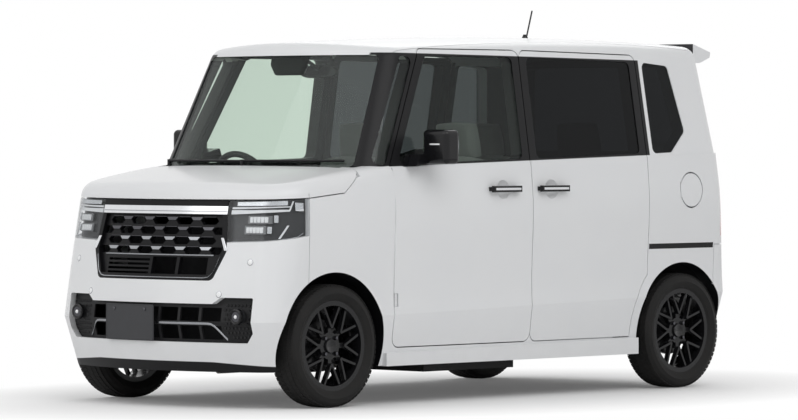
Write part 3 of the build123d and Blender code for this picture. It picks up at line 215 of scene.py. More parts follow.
def grained_plastic(name, colour, roughness):
    """Moulded plastic with a fine leather grain."""
    colours = colour, scaled(colour, 1.35, 0.004)
    plastic, where, _ = clouded(name, colours, roughness - 0.08, 0.16, (9.0, 3.0), Specular_IOR_Level=0.25)
    pits = {"Vector": where, "Scale": 900.0}
    grain = plastic.add("ShaderNodeTexVoronoi", {"feature": "SMOOTH_F1"}, pits, output="Distance")
    plastic.bump(grain, 0.25, 0.0006)
    return plastic.material


def gloss_plastic(name, colour, roughness, coat, mirror=0.5):
    """Polished plastic or lacquer with faint haze."""
    colours = colour, scaled(colour, 1.2, 0.003)
    shine = {"Coat_Roughness": 0.04, "Specular_IOR_Level": mirror}
    gloss, where, haze = clouded(name, colours, roughness, 0.06, (22.0, 4.0), **shine)
    gloss.feed("Coat Weight", coat - haze * 0.1)
    gloss.bump(gloss.noise(180.0, 1.0, where), 0.02, 0.0004)
    return gloss.material


def bright_metal(name, colour, roughness):
    """Plated trim."""
    colours = colour, scaled(colour, 0.9)
    return clouded(name, colours, roughness, 0.10, (30.0, 3.0), Metallic=1.0)[0].material


def raw_metal(name, colour, roughness):
    """Cast or drawn metal with stains."""
    colours = colour, scaled(colour, 0.55)
    metal, where, _ = clouded(name, colours, roughness, 0.25, (16.0, 5.0), Metallic=0.85)
    metal.bump(metal.noise(420.0, 2.0, where), 0.12, 0.0006)
    return metal.material


GLASS_MIRROR = (0.30, 0.305, 0.31)
GLASS_SHINE = 0.05
PRIVACY_TINT = (0.24, 0.25, 0.26)
PRIVACY_FROM = 0.3


def pane(name, tint, rear_tint=None):
    """Glass: tinted and see-through, a mirror at a glancing angle. Rear panes may have their own tint."""
    glass = Finish(name, GLASS_MIRROR, 0.03, Metallic=1.0)
    where, (x, _, _) = glass.place()
    glass.feed("Roughness", 0.01 + glass.noise(7.0, 3.0, where) * 0.03)
    clear = glass.add("ShaderNodeBsdfTransparent", {}, {"Color": (*tint, 1.0)})
    if rear_tint:
        dark = glass.add("ShaderNodeBsdfTransparent", {}, {"Color": (*rear_tint, 1.0)})
        clear = glass.mix(1.0 - step(x, PRIVACY_FROM, 0.01), clear, dark)
    slant = glass.add("ShaderNodeLayerWeight", {}, {"Blend": 0.5}, output="Facing")
    glass.show(glass.mix(GLASS_SHINE + (slant ** 5.0) * (1.0 - GLASS_SHINE), clear, glass.plain))
    return glass.material


RUBBER_BLACK = (0.008, 0.008, 0.0085)
RUBBER_DUSTY = (0.026, 0.025, 0.024)


def tyre_rubber(name):
    """Dusty tyre rubber."""
    colours = RUBBER_BLACK, RUBBER_DUSTY
    tyre, where, _ = clouded(name, colours, 0.60, 0.25, (11.0, 4.0), Specular_IOR_Level=0.2)
    tyre.bump(tyre.noise(700.0, 3.0, where), 0.2, 0.0008)
    return tyre.material


WEAVE = 3600.0


def cloth(name, colour):
    """Woven seat cloth."""
    weave = Finish(name, colour, 0.9, Sheen_Weight=0.25)
    where, (x, y, z) = weave.place()
    over = ((x + z) * WEAVE).wave() * (y * WEAVE).wave()
    cloud = weave.noise(6.0, 3.0, where)
    thread = (over * 0.3 + 0.5) * 0.6 + cloud * 0.4
    weave.feed("Base Color", weave.blend(thread, scaled(colour, 0.62), colour))
    weave.bump(over, 0.12, 0.0004)
    return weave.material


# Edges of the black areas of the panels
ARCH_HEIGHT = 0.287
ARCH_REACH = 0.3286
SILL = 1.114
SILL_SLOPE = 0.026
HEADER = 1.618
HEADER_SLOPE = 0.011
HEADER_FROM = 0.45
QUARTER = -1.03
FOOT = 0.5
LIP_TOP = 0.212
LIP_DROP = 0.018
LIP_FROM = 0.52
SHARP = 0.002


def in_arch(x, z):
    """The turned-in faces of the wheel arches."""
    up = z - ARCH_HEIGHT
    squares = [(x - axle) * (x - axle) + up * up for _, axle in AXLES]
    front, rear = [1.0 - step(square, ARCH_REACH ** 2, 0.0002) for square in squares]
    return front.highest(rear)


def window_band(x, y, z):
    """The black frames between the window sills and the roof side, ahead of the rear quarter."""
    above = step(z + x * SILL_SLOPE, SILL, SHARP)
    below = 1.0 - step(z + (HEADER_FROM - x) * HEADER_SLOPE, HEADER, SHARP)
    return above * below * step(x, QUARTER, SHARP)


def roof_foot(x, y, z):
    """The black feet of the roof beside the windscreen."""
    return window_band(x, y, z) * step(abs(y), FOOT, 0.01)


def chin_lip(x, y, z):
    """The black lip under the front bumper, deeper in the middle."""
    return 1.0 - step(z, LIP_TOP - step(abs(y), LIP_FROM, 0.3) * LIP_DROP, SHARP)


def inside_wall(paint, y):
    """The cabin side of the doors and side frames."""
    return step(paint.looking()[1] * (y / abs(y).highest(0.001)) * -1.0, 0.5, 0.1)


def under_roof(paint, y):
    """The roof's lining."""
    return step(paint.looking()[2] * -1.0, 0.4, 0.1)


def inside_tailgate(paint, y):
    """The cabin side of the tailgate."""
    return step(paint.looking()[0], 0.5, 0.1)


banded_paint = pearl_paint("white_paint_black_frames", window_band, inside_wall)
black_gloss = gloss_plastic("black_gloss", (0.005, 0.005, 0.006), 0.12, 0.15, 0.25)
black_grain = grained_plastic("black_grain", (0.010, 0.010, 0.011), 0.55)
chrome = bright_metal("bright_trim", (0.74, 0.75, 0.77), 0.10)
red_lens = gloss_plastic("red_lens", (0.42, 0.012, 0.016), 0.08, 0.9)
rubber = tyre_rubber("tyre_rubber")
wheel_black = gloss_plastic("wheel_black", (0.006, 0.006, 0.007), 0.2, 0.25, 0.3)
seat_cloth = cloth("seat_cloth", (0.26, 0.26, 0.265))
smoked_chrome = bright_metal("smoked_chrome", (0.36, 0.37, 0.39), 0.16)
dark_chrome = bright_metal("dark_chrome", (0.10, 0.10, 0.11), 0.2)
lamp_chrome = bright_metal("lamp_chrome", (0.58, 0.595, 0.61), 0.2)
mirror_silver = bright_metal("mirror_silver", (0.72, 0.75, 0.78), 0.02)
lamp_dark = gloss_plastic("lamp_dark", (0.020, 0.021, 0.023), 0.3, 0.1, 0.3)
lamp_grey = gloss_plastic("lamp_grey", (0.16, 0.165, 0.17), 0.3, 0.2)
lamp_white = gloss_plastic("lamp_white", (0.86, 0.88, 0.90), 0.2, 0.5)
plate_grey = gloss_plastic("plate_grey", (0.045, 0.046, 0.050), 0.45, 0.05, 0.25)
plate_white = gloss_plastic("plate_white", (0.80, 0.80, 0.78), 0.35, 0.2)
cabin_grey = grained_plastic("cabin_grey", (0.045, 0.045, 0.048), 0.6)

slot_finish = {
    "paint": pearl_paint("white_paint"),
    "underbody": raw_metal("underbody_black", (0.020, 0.020, 0.022), 0.6),
    "glass": pane("clear_glass", (0.885, 0.93, 0.895)),
    "privacy_glass": pane("privacy_glass", PRIVACY_TINT),
    "black_trim": black_gloss,
    "handle_trim": black_gloss,
    "front_lamp": pane("lamp_lens", (0.98, 0.985, 0.99)),
    "rear_lamp": red_lens,
    "interior": cabin_grey,
    "seat_cloth": seat_cloth,
    "pipe": raw_metal("exhaust_steel", (0.42, 0.40, 0.38), 0.4),
    "tank": black_grain,
    "alloy": wheel_black,
    "tyre": rubber,
    "bright_trim": chrome,
}
own_finish = {
    "roof": pearl_paint("white_paint_roof", roof_foot, under_roof, ROOF_LINING),
    "tailgate": pearl_paint("white_paint_tailgate", None, inside_tailgate),
    "front_bumper": pearl_paint("white_paint_black_lip", chin_lip),
    "cowl": black_grain,
    "wipers": black_grain,
    "lower_grille": black_grain,
    "lamp_housings": lamp_dark,
    "fog_lamps": lamp_dark,
    "side_glass": pane("side_glass", (0.90, 0.935, 0.91), PRIVACY_TINT),
    "front_grille": gloss_plastic("grille_black", (0.005, 0.005, 0.006), 0.3, 0.05, 0.12),
}
for _, end in SIDES:
    for panel in ("side_frame", "front_door", "sliding_door"):
        own_finish[f"{end}_{panel}"] = banded_paint
slot_of = {row["node"]: row["material_slot"] for row in frame["record"]["subparts"]}
for name, node in frame["nodes"].items():
    node.data.materials.clear()
    node.data.materials.append(own_finish.get(name) or slot_finish[slot_of[name]])


# Places on the car's surface
VIEW_DISTANCE = 3.0
LAMP_PIVOT = Vector((1.25, 0.42, 0.0))


def skin_tree(*names):
    """A tree for finding points on some of the CAD nodes."""
    points, faces = [], []
    for name in names:
        mesh = frame["nodes"][name].data
        start = len(points)
        points += [vertex.co.copy() for vertex in mesh.vertices]
        faces += [[start + index for index in polygon.vertices] for polygon in mesh.polygons]
    return BVHTree.FromPolygons(points, faces)


def met(skin, way, y, z, stand=0.0):
    """Where a look along the car meets a skin, forward if way is 1, stood off towards the viewer."""
    hit = skin.ray_cast(Vector((-way * VIEW_DISTANCE, y, z)), Vector((way, 0, 0)))[0]
    return Vector((hit.x - way * stand, y, z))


lens_skin = skin_tree("headlamps", "front_bumper", "front_fenders")
nose_skin = skin_tree("front_bumper", "headlamps", "front_grille", "grille_bar", "bonnet", "front_fenders")
tail_skin = skin_tree("tailgate", "rear_bumper", "tail_lamps", "tailgate_glass", "left_side_frame")
on_nose = partial(met, nose_skin, -1)
on_grille = partial(met, skin_tree("front_grille"), -1)
on_low_grille = partial(met, skin_tree("lower_grille", "fog_lamps"), -1)
on_tail = partial(met, tail_skin, 1)


def in_lamp(side, turn, z, back):
    """A point behind a lamp's lens, turned from straight ahead about an upright line inside the lamp."""
    out = Vector((cos(radians(turn)), sin(radians(turn)), 0.0))
    start = LAMP_PIVOT + Vector((0, 0, z)) + out * VIEW_DISTANCE
    hit = lens_skin.ray_cast(start, -out)[0] - out * back
    return Vector((hit.x, side * hit.y, z))


# Meshes
BEVEL_ANGLE = 35
SHARP_ANGLE = 45


def settle(piece, body):
    """Add a piece to the scene, riding on a body."""
    bpy.context.collection.objects.link(piece)
    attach(piece, body)
    return piece


def fit(name, build, finish, body, slot, bevel=0.0, sharp=SHARP_ANGLE, rounded=False):
    """A piece whose mesh is filled in by a function, with softened edges or rounded all over."""
    grid = bmesh.new()
    build(grid)
    bmesh.ops.recalc_face_normals(grid, faces=grid.faces)
    mesh = bpy.data.meshes.new(name)
    grid.to_mesh(mesh)
    grid.free()
    mesh.materials.append(finish)
    mesh.polygons.foreach_set("use_smooth", [True] * len(mesh.polygons))
    piece = bpy.data.objects.new(name, mesh)
    if bevel:
        soft = piece.modifiers.new("edges", "BEVEL")
        soft.width = bevel
        soft.segments = 2
        soft.limit_method = "ANGLE"
        soft.angle_limit = radians(BEVEL_ANGLE)
    if rounded:
        fine = piece.modifiers.new("rounding", "SUBSURF")
        fine.levels = fine.render_levels = 1
    else:
        mesh.set_sharp_from_angle(angle=radians(sharp))
    return settle(piece, body)


def tube(name, points, radius, finish, body):
    """A piece that is a round bar along a line of points."""
    curve = bpy.data.curves.new(name, "CURVE")
    curve.dimensions = "3D"
    curve.bevel_depth = radius
    curve.bevel_resolution = 3
    curve.use_fill_caps = True
    spline = curve.splines.new("POLY")
    spline.points.add(len(points) - 1)
    for target, point in zip(spline.points, points):
        target.co = (*point, 1.0)
    curve.materials.append(finish)
    return settle(bpy.data.objects.new(name, curve), body)


def wall(grid, rings):
    """Faces between rings of vertices."""
    for first, second in zip(rings, rings[1:]):
        for index in range(len(first)):
            after = (index + 1) % len(first)
            grid.faces.new((first[index], first[after], second[after], second[index]))


def sleeve(grid, rings):
    """A closed skin through rings of points, with both ends shut."""
    rings = [[grid.verts.new(point) for point in ring] for ring in rings]
    grid.faces.new(rings[0][::-1])
    grid.faces.new(rings[-1])
    wall(grid, rings)


def slab(grid, corners, depth):
    """A plate through the corners, thickened by a vector."""
    sleeve(grid, [corners, [corner + Vector(depth) for corner in corners]])


def strip(grid, spine, across, depth):
    """A band of constant section along a line of points: across is its width, depth its thickness."""
    across, depth = Vector(across) / 2, Vector(depth) / 2
    section = (-across - depth, across - depth, across + depth, depth - across)
    sleeve(grid, [[point + corner for corner in section] for point in spine])


def lathe(grid, outline, centre, axis, steps):
    """An outline of (distance along the axis, radius) turned about the axis."""
    axis = Vector(axis).normalized()
    side = axis.orthogonal().normalized()
    other = axis.cross(side)
    rings = []
    for index in range(steps):
        turn = 2 * pi * index / steps
        out = side * cos(turn) + other * sin(turn)
        rings.append([grid.verts.new(centre + axis * along + out * radius) for along, radius in outline])
    for first, second in zip(rings, rings[1:] + rings[:1]):
        for row in range(len(outline) - 1):
            grid.faces.new((first[row], first[row + 1], second[row + 1], second[row]))
    if outline[0][1]:
        grid.faces.new([ring[0] for ring in rings][::-1])
    if outline[-1][1]:
        grid.faces.new([ring[-1] for ring in rings])
    bmesh.ops.remove_doubles(grid, verts=grid.verts, dist=1e-6)


def fit_slab(name, corners, depth, *rest):
    """A piece that is one slab."""
    return fit(name, lambda grid: slab(grid, corners, depth), *rest)


def fit_strip(name, spine, across, depth, *rest):
    """A piece that is one band."""
    return fit(name, lambda grid: strip(grid, spine, across, depth), *rest)


def fit_lathe(name, outline, centre, axis, steps, *rest):
    """A piece that is one turned part."""
    return fit(name, lambda grid: lathe(grid, outline, centre, axis, steps), *rest)


def span(first, last, count):
    """Evenly spaced numbers from first to last."""
    return [first + (last - first) * index / (count - 1) for index in range(count)]


def filled(path, steps):
    """A path with even steps between its points."""
    points = []
    for start, stop in zip(path, path[1:]):
        points += [tuple(a + (b - a) * t / steps for a, b in zip(start, stop)) for t in range(steps)]
    return points + [path[-1]]


def side_view(outline, y):
    """Points of a side-view outline at one place across the car."""
    return [Vector((x, y, z)) for x, z in outline]


def front_view(outline, x, y=0.0, z=0.0):
    """Points of a front-view outline at one place along the car."""
    return [Vector((x, y + across, z + up)) for across, up in outline]


def oblong(wide, high):
    """Corners of an oblong about its middle."""
    return [(a * wide / 2, b * high / 2) for a, b in ((-1, -1), (1, -1), (1, 1), (-1, 1))]


def rounded_oblong(wide, high, powers, count):
    """A closed outline between an oval and an oblong: the lower the powers, the squarer."""
    points = []
    for index in range(count):
        a, b = cos(2 * pi * index / count), sin(2 * pi * index / count)
        a, b = copysign(abs(a) ** powers[0], a), copysign(abs(b) ** powers[1], b)
        points.append((a * wide / 2, b * high / 2))
    return points


# Lamps
LAMP_LAYER = 0.006
LAMP_BEVEL = 0.001
# Bands of a headlamp: name, finish, depth behind the lens, heights at both ends, (turn, z) from end to end
LAMP_BANDS = (
    ("line_upper", lamp_white, 0.007, (0.009, 0.005),
     ((0.5, 0.9075), (20, 0.9095), (40, 0.9125), (54.5, 0.9150))),
    ("line_lower", lamp_white, 0.007, (0.020, 0.009),
     ((0.0, 0.8890), (20, 0.8915), (40, 0.8955), (54.0, 0.8980))),
    ("brow", lamp_chrome, 0.010, (0.018, 0.022),
     ((5.0, 0.9265), (20, 0.9275), (40, 0.9300), (52.5, 0.9320))),
    ("outer_patch", lamp_chrome, 0.009, (0.034, 0.034), ((58.5, 0.9170), (62.0, 0.9160), (66.0, 0.9150))),
    ("outer_edge", lamp_white, 0.006, (0.003, 0.010), ((58.5, 0.8985), (62.0, 0.8985), (66.0, 0.9000))),
    ("cup_upper", lamp_grey, 0.016, (0.036, 0.036), ((17.5, 0.8560), (28, 0.8560), (40.0, 0.8560))),
    ("cup_lower", lamp_grey, 0.016, (0.038, 0.038), ((14.5, 0.8095), (24, 0.8095), (35.0, 0.8095))),
    ("block_upper", lamp_chrome, 0.012, (0.034, 0.034), ((41.2, 0.8600), (43.0, 0.8600), (44.7, 0.8600))),
    ("block_lower", lamp_chrome, 0.012, (0.032, 0.032), ((35.8, 0.8100), (37.6, 0.8100), (39.5, 0.8100))),
    ("floor_line", lamp_chrome, 0.007, (0.003, 0.003),
     ((47.0, 0.7690), (53, 0.7715), (60.0, 0.7790), (65.0, 0.7960))),
)
BAND_STEPS = 6
# Slanted accents: (turn, z) at both ends and half the width in degrees
LAMP_ACCENTS = (((45.3, 0.7710), (52.4, 0.8310), 0.9), ((53.6, 0.8960), (57.0, 0.9400), 0.7))
ACCENT_BACK = 0.007
# Rows of cells: z, first turn, pitch in degrees, count
LAMP_CELLS = ((0.8560, 21.0, 3.4, 5), (0.8095, 17.8, 3.2, 5))
CELL_OUTLINE = ((-1.3, -0.013), (1.3, -0.013), (1.5, 0.013), (-1.5, 0.013))
CELL_BACK = 0.012
FOG_Y = 0.519
FOG_Z = 0.420
# Round parts of a fog lamp: name, finish, steps, outline
FOG_PARTS = (
    ("ring", black_gloss, 48,
     ((0.0, 0.023), (0.005, 0.025), (0.007, 0.030), (0.003, 0.036), (-0.010, 0.037))),
    ("reflector", dark_chrome, 48, ((0.004, 0.0232), (0.002, 0.018), (0.001, 0.0095), (0.001, 0.0))),
    # The bulb is a real part, and its white also serves as a painted highlight at the lamp's centre.
    ("bulb", lamp_white, 24, ((0.001, 0.0095), (0.006, 0.0085), (0.009, 0.005), (0.010, 0.0))),
)


def lamp_band(grid, side, path, halves, back):
    """A band behind the lens along (turn, z) points, with half its extent in turn and z at each of them."""
    rings = []
    for (turn, z), (off, lift) in zip(path, halves):
        section = ((-1, 0.0), (1, 0.0), (1, LAMP_LAYER), (-1, LAMP_LAYER))
        rings.append([in_lamp(side, turn + a * off, z + a * lift, back + depth) for a, depth in section])
    sleeve(grid, rings)


def dress_headlamp(side, end):
    """What shows behind one lamp's lens: light bars, brow, cups, cells, slanted accents and a floor line."""
    for name, finish, back, heights, path in LAMP_BANDS:
        points = filled(path, BAND_STEPS)
        halves = [(0.0, high / 2) for high in span(*heights, len(points))]
        fit(f"{end}_lamp_{name}", lambda grid: lamp_band(grid, side, points, halves, back),
            finish, "body", "front_lamp", LAMP_BEVEL)

    def accents(grid):
        for low, high, half in LAMP_ACCENTS:
            points = filled((low, high), 8)
            lamp_band(grid, side, points, [(half, 0.0)] * len(points), ACCENT_BACK)

    fit(f"{end}_lamp_accents", accents, lamp_white, "body", "front_lamp", LAMP_BEVEL)

    def cells(grid):
        for z, first, pitch, count in LAMP_CELLS:
            for index in range(count):
                turn = first + index * pitch
                corners = [in_lamp(side, turn + off, z + up, CELL_BACK) for off, up in CELL_OUTLINE]
                slab(grid, corners, (-LAMP_LAYER, 0, 0))

    fit(f"{end}_lamp_cells", cells, lamp_white, "body", "front_lamp", 0.002)


def dress_fog_lamp(side, end):
    """Dark ring, reflector and white bulb of one fog lamp. The bulb's white is partly a painted highlight at
    the lamp's centre.
    """
    centre = Vector((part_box("fog_lamps")[1].x, side * FOG_Y, FOG_Z))
    for name, finish, steps, outline in FOG_PARTS:
        fit_lathe(f"{end}_fog_{name}", outline, centre, (1, 0, 0), steps, finish, "body", "front_lamp")


# Front face
GRILLE_ROWS = (5, 6, 5, 6)
GRILLE_TOP = 0.848
ROW_PITCH = 0.045
HOLE_PITCH = 0.150
WEB_OUTLINE = ((-0.036, 0.009), (0.036, 0.009), (0.021, -0.006), (-0.021, -0.006))
WEB_LIFT = 0.008
WEB_LIMIT = 0.345
EDGE_HALF = 0.034
EDGE_LIFT = 0.0185
EDGE_LIMIT = 0.31
# How far the grille's face falls back across the car and upwards
FACE_BOW = 0.32
FACE_RAKE = 0.21
TIP_PATH = ((0.3990, 0.774), (0.4085, 0.754), (0.4180, 0.734), (0.4262, 0.716))
BAR_LINE_HALF = 0.400
BAR_LINE_Z = 0.8925
DIVIDER_HALF = 0.352
DIVIDER_Z = 0.6935
INNER_CORNER = ((0.399, 0.690), (0.383, 0.640), (0.371, 0.614), (0.350, 0.5965))
INNER_HALF = 0.325
INNER_Z = 0.592
SENSOR_SPOTS = ((0.5605, 0.666), (-0.5605, 0.666), (0.4195, 0.5195), (-0.4195, 0.5195))
SENSOR = ((-0.004, 0.0125), (0.0012, 0.0125), (0.0022, 0.0110), (0.0022, 0.0))
SENSOR_RING = ((-0.004, 0.0155), (0.0004, 0.0155), (0.0010, 0.0145), (0.0010, 0.0120))


def grille_webs(grid, rows):
    """Plates on the webs between the grille's holes."""
    for row in rows:
        count = GRILLE_ROWS[row]
        for index in range(count + 1):
            y = (index - count / 2) * HOLE_PITCH
            if abs(y) > WEB_LIMIT:
                continue
            middle = on_grille(y, GRILLE_TOP - row * ROW_PITCH + WEB_LIFT, 0.001)
            corners = []
            for off, up in WEB_OUTLINE:
                corners.append(middle + Vector((-FACE_BOW * y * off - FACE_RAKE * up, off, up)))
            slab(grid, corners, (0.004, 0, 0.001))


def grille_edges(grid):
    """Bright upper edges of the grille's holes."""
    for row, count in enumerate(GRILLE_ROWS):
        z = GRILLE_TOP - row * ROW_PITCH + EDGE_LIFT
        for index in range(count):
            y = (index - (count - 1) / 2) * HOLE_PITCH
            if abs(y) <= EDGE_LIMIT:
                spine = [on_grille(y + off, z, 0.0015) for off in span(-EDGE_HALF, EDGE_HALF, 5)]
                strip(grid, spine, (0, 0, 0.003), (0.003, 0, 0))


def grille_tips(grid):
    """Slanted bright ends of the grille's surround."""
    for side, _ in SIDES:
        strip(grid, [on_nose(side * y, z, 0.002) for y, z in TIP_PATH], (0, 0.017, 0), (0.006, 0, 0))


def at_sensors(grid, outline):
    """A round part at each parking sensor."""
    for y, z in SENSOR_SPOTS:
        lathe(grid, outline, on_nose(y, z), (0.96, copysign(0.23, y), 0.18), 24)


def dress_grille():
    """Webs, edges, tips and lines of the grille, and the parking sensors beside it. The upper webs are
    painted darker as shade.
    """
    # Painted shade: the upper two rows of webs take the darker chrome and the lower two the lighter. They are
    # the same webs, drawn darker where they lie in shade.
    for name, rows, finish in (("upper", (0, 1), dark_chrome), ("lower", (2, 3), smoked_chrome)):
        fit(f"grille_webs_{name}", lambda grid: grille_webs(grid, rows), finish, "body", "bright_trim", 0.001)
    fit("grille_edges", grille_edges, dark_chrome, "body", "bright_trim", 0.0005)
    fit("grille_tips", grille_tips, chrome, "body", "bright_trim", 0.001)
    bar_line = [on_nose(y, BAR_LINE_Z, 0.0006) for y in span(-BAR_LINE_HALF, BAR_LINE_HALF, 21)]
    divider = [on_grille(y, DIVIDER_Z, 0.002) for y in span(-DIVIDER_HALF, DIVIDER_HALF, 17)]
    path = [(-y, z) for y, z in INNER_CORNER] + [(y, INNER_Z) for y in span(-INNER_HALF, INNER_HALF, 15)]
    path += reversed(INNER_CORNER)
    inner_line = [on_nose(y, z, 0.0015) for y, z in path]
    for name, spine, wide, thick, bevel in (
        ("bar_line", bar_line, (0, 0, 0.0035), (0.002, 0, 0), 0.0005),
        ("divider", divider, (0, 0, 0.006), (0.006, 0, 0), 0.001),
        ("inner_line", inner_line, (0, 0.003, 0.004), (0.004, 0, 0), 0.001),
    ):
        fit_strip(f"grille_{name}", spine, wide, thick, smoked_chrome, "body", "bright_trim", bevel)
    for name, outline, finish, slot in (
        ("sensors", SENSOR, lamp_white, "paint"),
        ("sensor_rings", SENSOR_RING, smoked_chrome, "bright_trim"),
    ):
        fit(f"parking_{name}", lambda grid: at_sensors(grid, outline), finish, "body", slot)


BLADE_Z = 0.386
BLADE_STAND = 0.004
BLADE_FLAT = (0.05, 0.352)
BLADE_BEND = ((0.372, 0.384), (0.390, 0.374), (0.410, 0.352), (0.430, 0.329), (0.446, 0.314))
BLADE_ROOT = 0.425
BLADE_TIP = (0.445, 0.318)
STUD_RADIUS = 0.0075
STUD_START = (0.440, 0.326)
STUD_PITCH = (0.018, 0.0205)
STUD_LIMIT = 0.580
STUD_GRID = (9, 8)
# Room that the studs leave round the fog lamp and beside the end of the blade
FOG_ROOM = 0.045
BLADE_ROOM = (0.462, 0.345)
PLATE_Y = -0.104
PLATE_SIZE = (0.330, 0.165)
BRACKET_HEIGHTS = (0.330, 0.438)
BRACKET_SIZE = (0.240, 0.036)


def lower_blade(grid):
    """A blade across the lower opening that turns down at each end."""
    for side, _ in SIDES:
        spine = [on_low_grille(side * y, BLADE_Z, BLADE_STAND) for y in span(*BLADE_FLAT, 9)]
        root = on_low_grille(side * BLADE_ROOT, BLADE_Z).x
        tip = on_low_grille(side * BLADE_TIP[0], BLADE_TIP[1]).x
        for y, z in BLADE_BEND:
            share = min(1.0, (BLADE_Z - z) / (BLADE_Z - BLADE_TIP[1]))
            x = root + (BLADE_ROOT - y) * 0.20 + (tip - root) * share + BLADE_STAND
            spine.append(Vector((x, side * y, z)))
        strip(grid, spine, (0, 0, 0.010), (0.008, 0, 0))


def fog_honeycomb(grid):
    """Six-sided studs round the fog lamps."""
    stud = [(STUD_RADIUS * cos(a), STUD_RADIUS * sin(a)) for a in span(0, 5 * pi / 3, 6)]
    columns, rows = STUD_GRID
    for side, _ in SIDES:
        for row in range(rows):
            for column in range(columns):
                y = STUD_START[0] + (column + row % 2 / 2) * STUD_PITCH[0]
                z = STUD_START[1] + row * STUD_PITCH[1]
                by_fog = (y - FOG_Y) ** 2 + (z - FOG_Z) ** 2 < FOG_ROOM ** 2
                by_blade = y < BLADE_ROOM[0] and z < BLADE_ROOM[1]
                if not (by_fog or by_blade or y > STUD_LIMIT):
                    slab(grid, front_view(stud, *on_low_grille(side * y, z, -0.001)), (0.004, 0, 0))


def front_plate_bracket(grid):
    """Two bars that carry the front plate."""
    x = on_low_grille(PLATE_Y, BLADE_Z, -0.014).x
    for z in BRACKET_HEIGHTS:
        slab(grid, front_view(oblong(*BRACKET_SIZE), x, PLATE_Y, z), (0.022, 0, 0))


def dress_lower_opening():
    """Blade, honeycomb and plate bracket of the lower opening."""
    fit("lower_blade", lower_blade, smoked_chrome, "body", "bright_trim", 0.001)
    fit("fog_honeycomb", fog_honeycomb, black_gloss, "body", "black_trim", 0.001)
    fit("front_plate_bracket", front_plate_bracket, black_grain, "body", "black_trim", 0.003)


PLATE_CORNER = 0.010
PLATE_THICK = 0.003
RIM_SHRINK = (0.985, 0.975)
RIM_LIFT = 0.0035
# The raised rim: growth about the plate's middle, height
RIM_RINGS = ((0.0, 0.0), (-0.012, 0.0015), (-0.026, 0.0))
SCREW = ((0.0, 0.008), (0.003, 0.0075), (0.004, 0.005), (0.0035, 0.0))
SCREW_OFF = 0.105
SCREW_DROP = 0.022


def plate(name, middle, normal, finish, body):
    """A bare number plate with a raised rim and two screws."""
    normal = Vector(normal).normalized()
    across = Vector((0, 0, 1)).cross(normal).normalized()
    up = normal.cross(across)
    half_wide, half_high = PLATE_SIZE[0] / 2, PLATE_SIZE[1] / 2

    def board(grid):
        outline = []
        for a, b, start in ((1, 1, 0), (-1, 1, 90), (-1, -1, 180), (1, -1, 270)):
            for turn in span(start, start + 90, 5):
                outline.append((a * (half_wide - PLATE_CORNER) + PLATE_CORNER * cos(radians(turn)),
                                b * (half_high - PLATE_CORNER) + PLATE_CORNER * sin(radians(turn))))
        slab(grid, [middle + across * a + up * b for a, b in outline], normal * PLATE_THICK)
        wide, high = RIM_SHRINK
        rim = [middle + across * a * wide + up * b * high + normal * RIM_LIFT for a, b in outline]
        wall(grid, [[grid.verts.new(point + (point - middle) * grow + normal * lift) for point in rim]
                    for grow, lift in RIM_RINGS])

    fit(name, board, finish, body, "handle_trim")

    def screws(grid):
        for off in (-SCREW_OFF, SCREW_OFF):
            spot = middle + across * off + up * (half_high - SCREW_DROP) + normal * PLATE_THICK
            lathe(grid, SCREW, spot, normal, 16)

    fit(f"{name}_screws", screws, dark_chrome, body, "handle_trim")


# Wheels
HUB_Y = 0.643
HUB_Z = 0.281
HUB_FACE = 0.040
TREAD_RADIUS = 0.2812
TREAD_CROWN = 0.0016
TREAD_HALF = 0.06
SHOULDER_DROP = 0.0022
SHOULDER_FROM = 0.05
# Rows of tread blocks: place across the tyre, width
TREAD_ROWS = ((-0.057, 0.020), (-0.031, 0.022), (0.0, 0.026), (0.031, 0.022), (0.057, 0.020))
TREAD_BLOCKS = 72
BLOCK_SHARE = 0.80
BLOCK_HIGH = 0.004
BLOCK_SLANT = 0.008
NUT = ((-0.004, 0.0105), (0.006, 0.0105), (0.012, 0.008), (0.013, 0.0))
NUT_CIRCLE = 0.050
CAP = ((-0.002, 0.034), (0.006, 0.034), (0.010, 0.031), (0.010, 0.027), (0.0085, 0.025), (0.0095, 0.0))
VALVE = ((0.0, 0.0045), (0.018, 0.004), (0.019, 0.0055), (0.028, 0.005), (0.030, 0.0))
VALVE_TURN = 68
VALVE_RADIUS = 0.170
VALVE_FACE = 0.046
VALVE_LEAN = 0.4


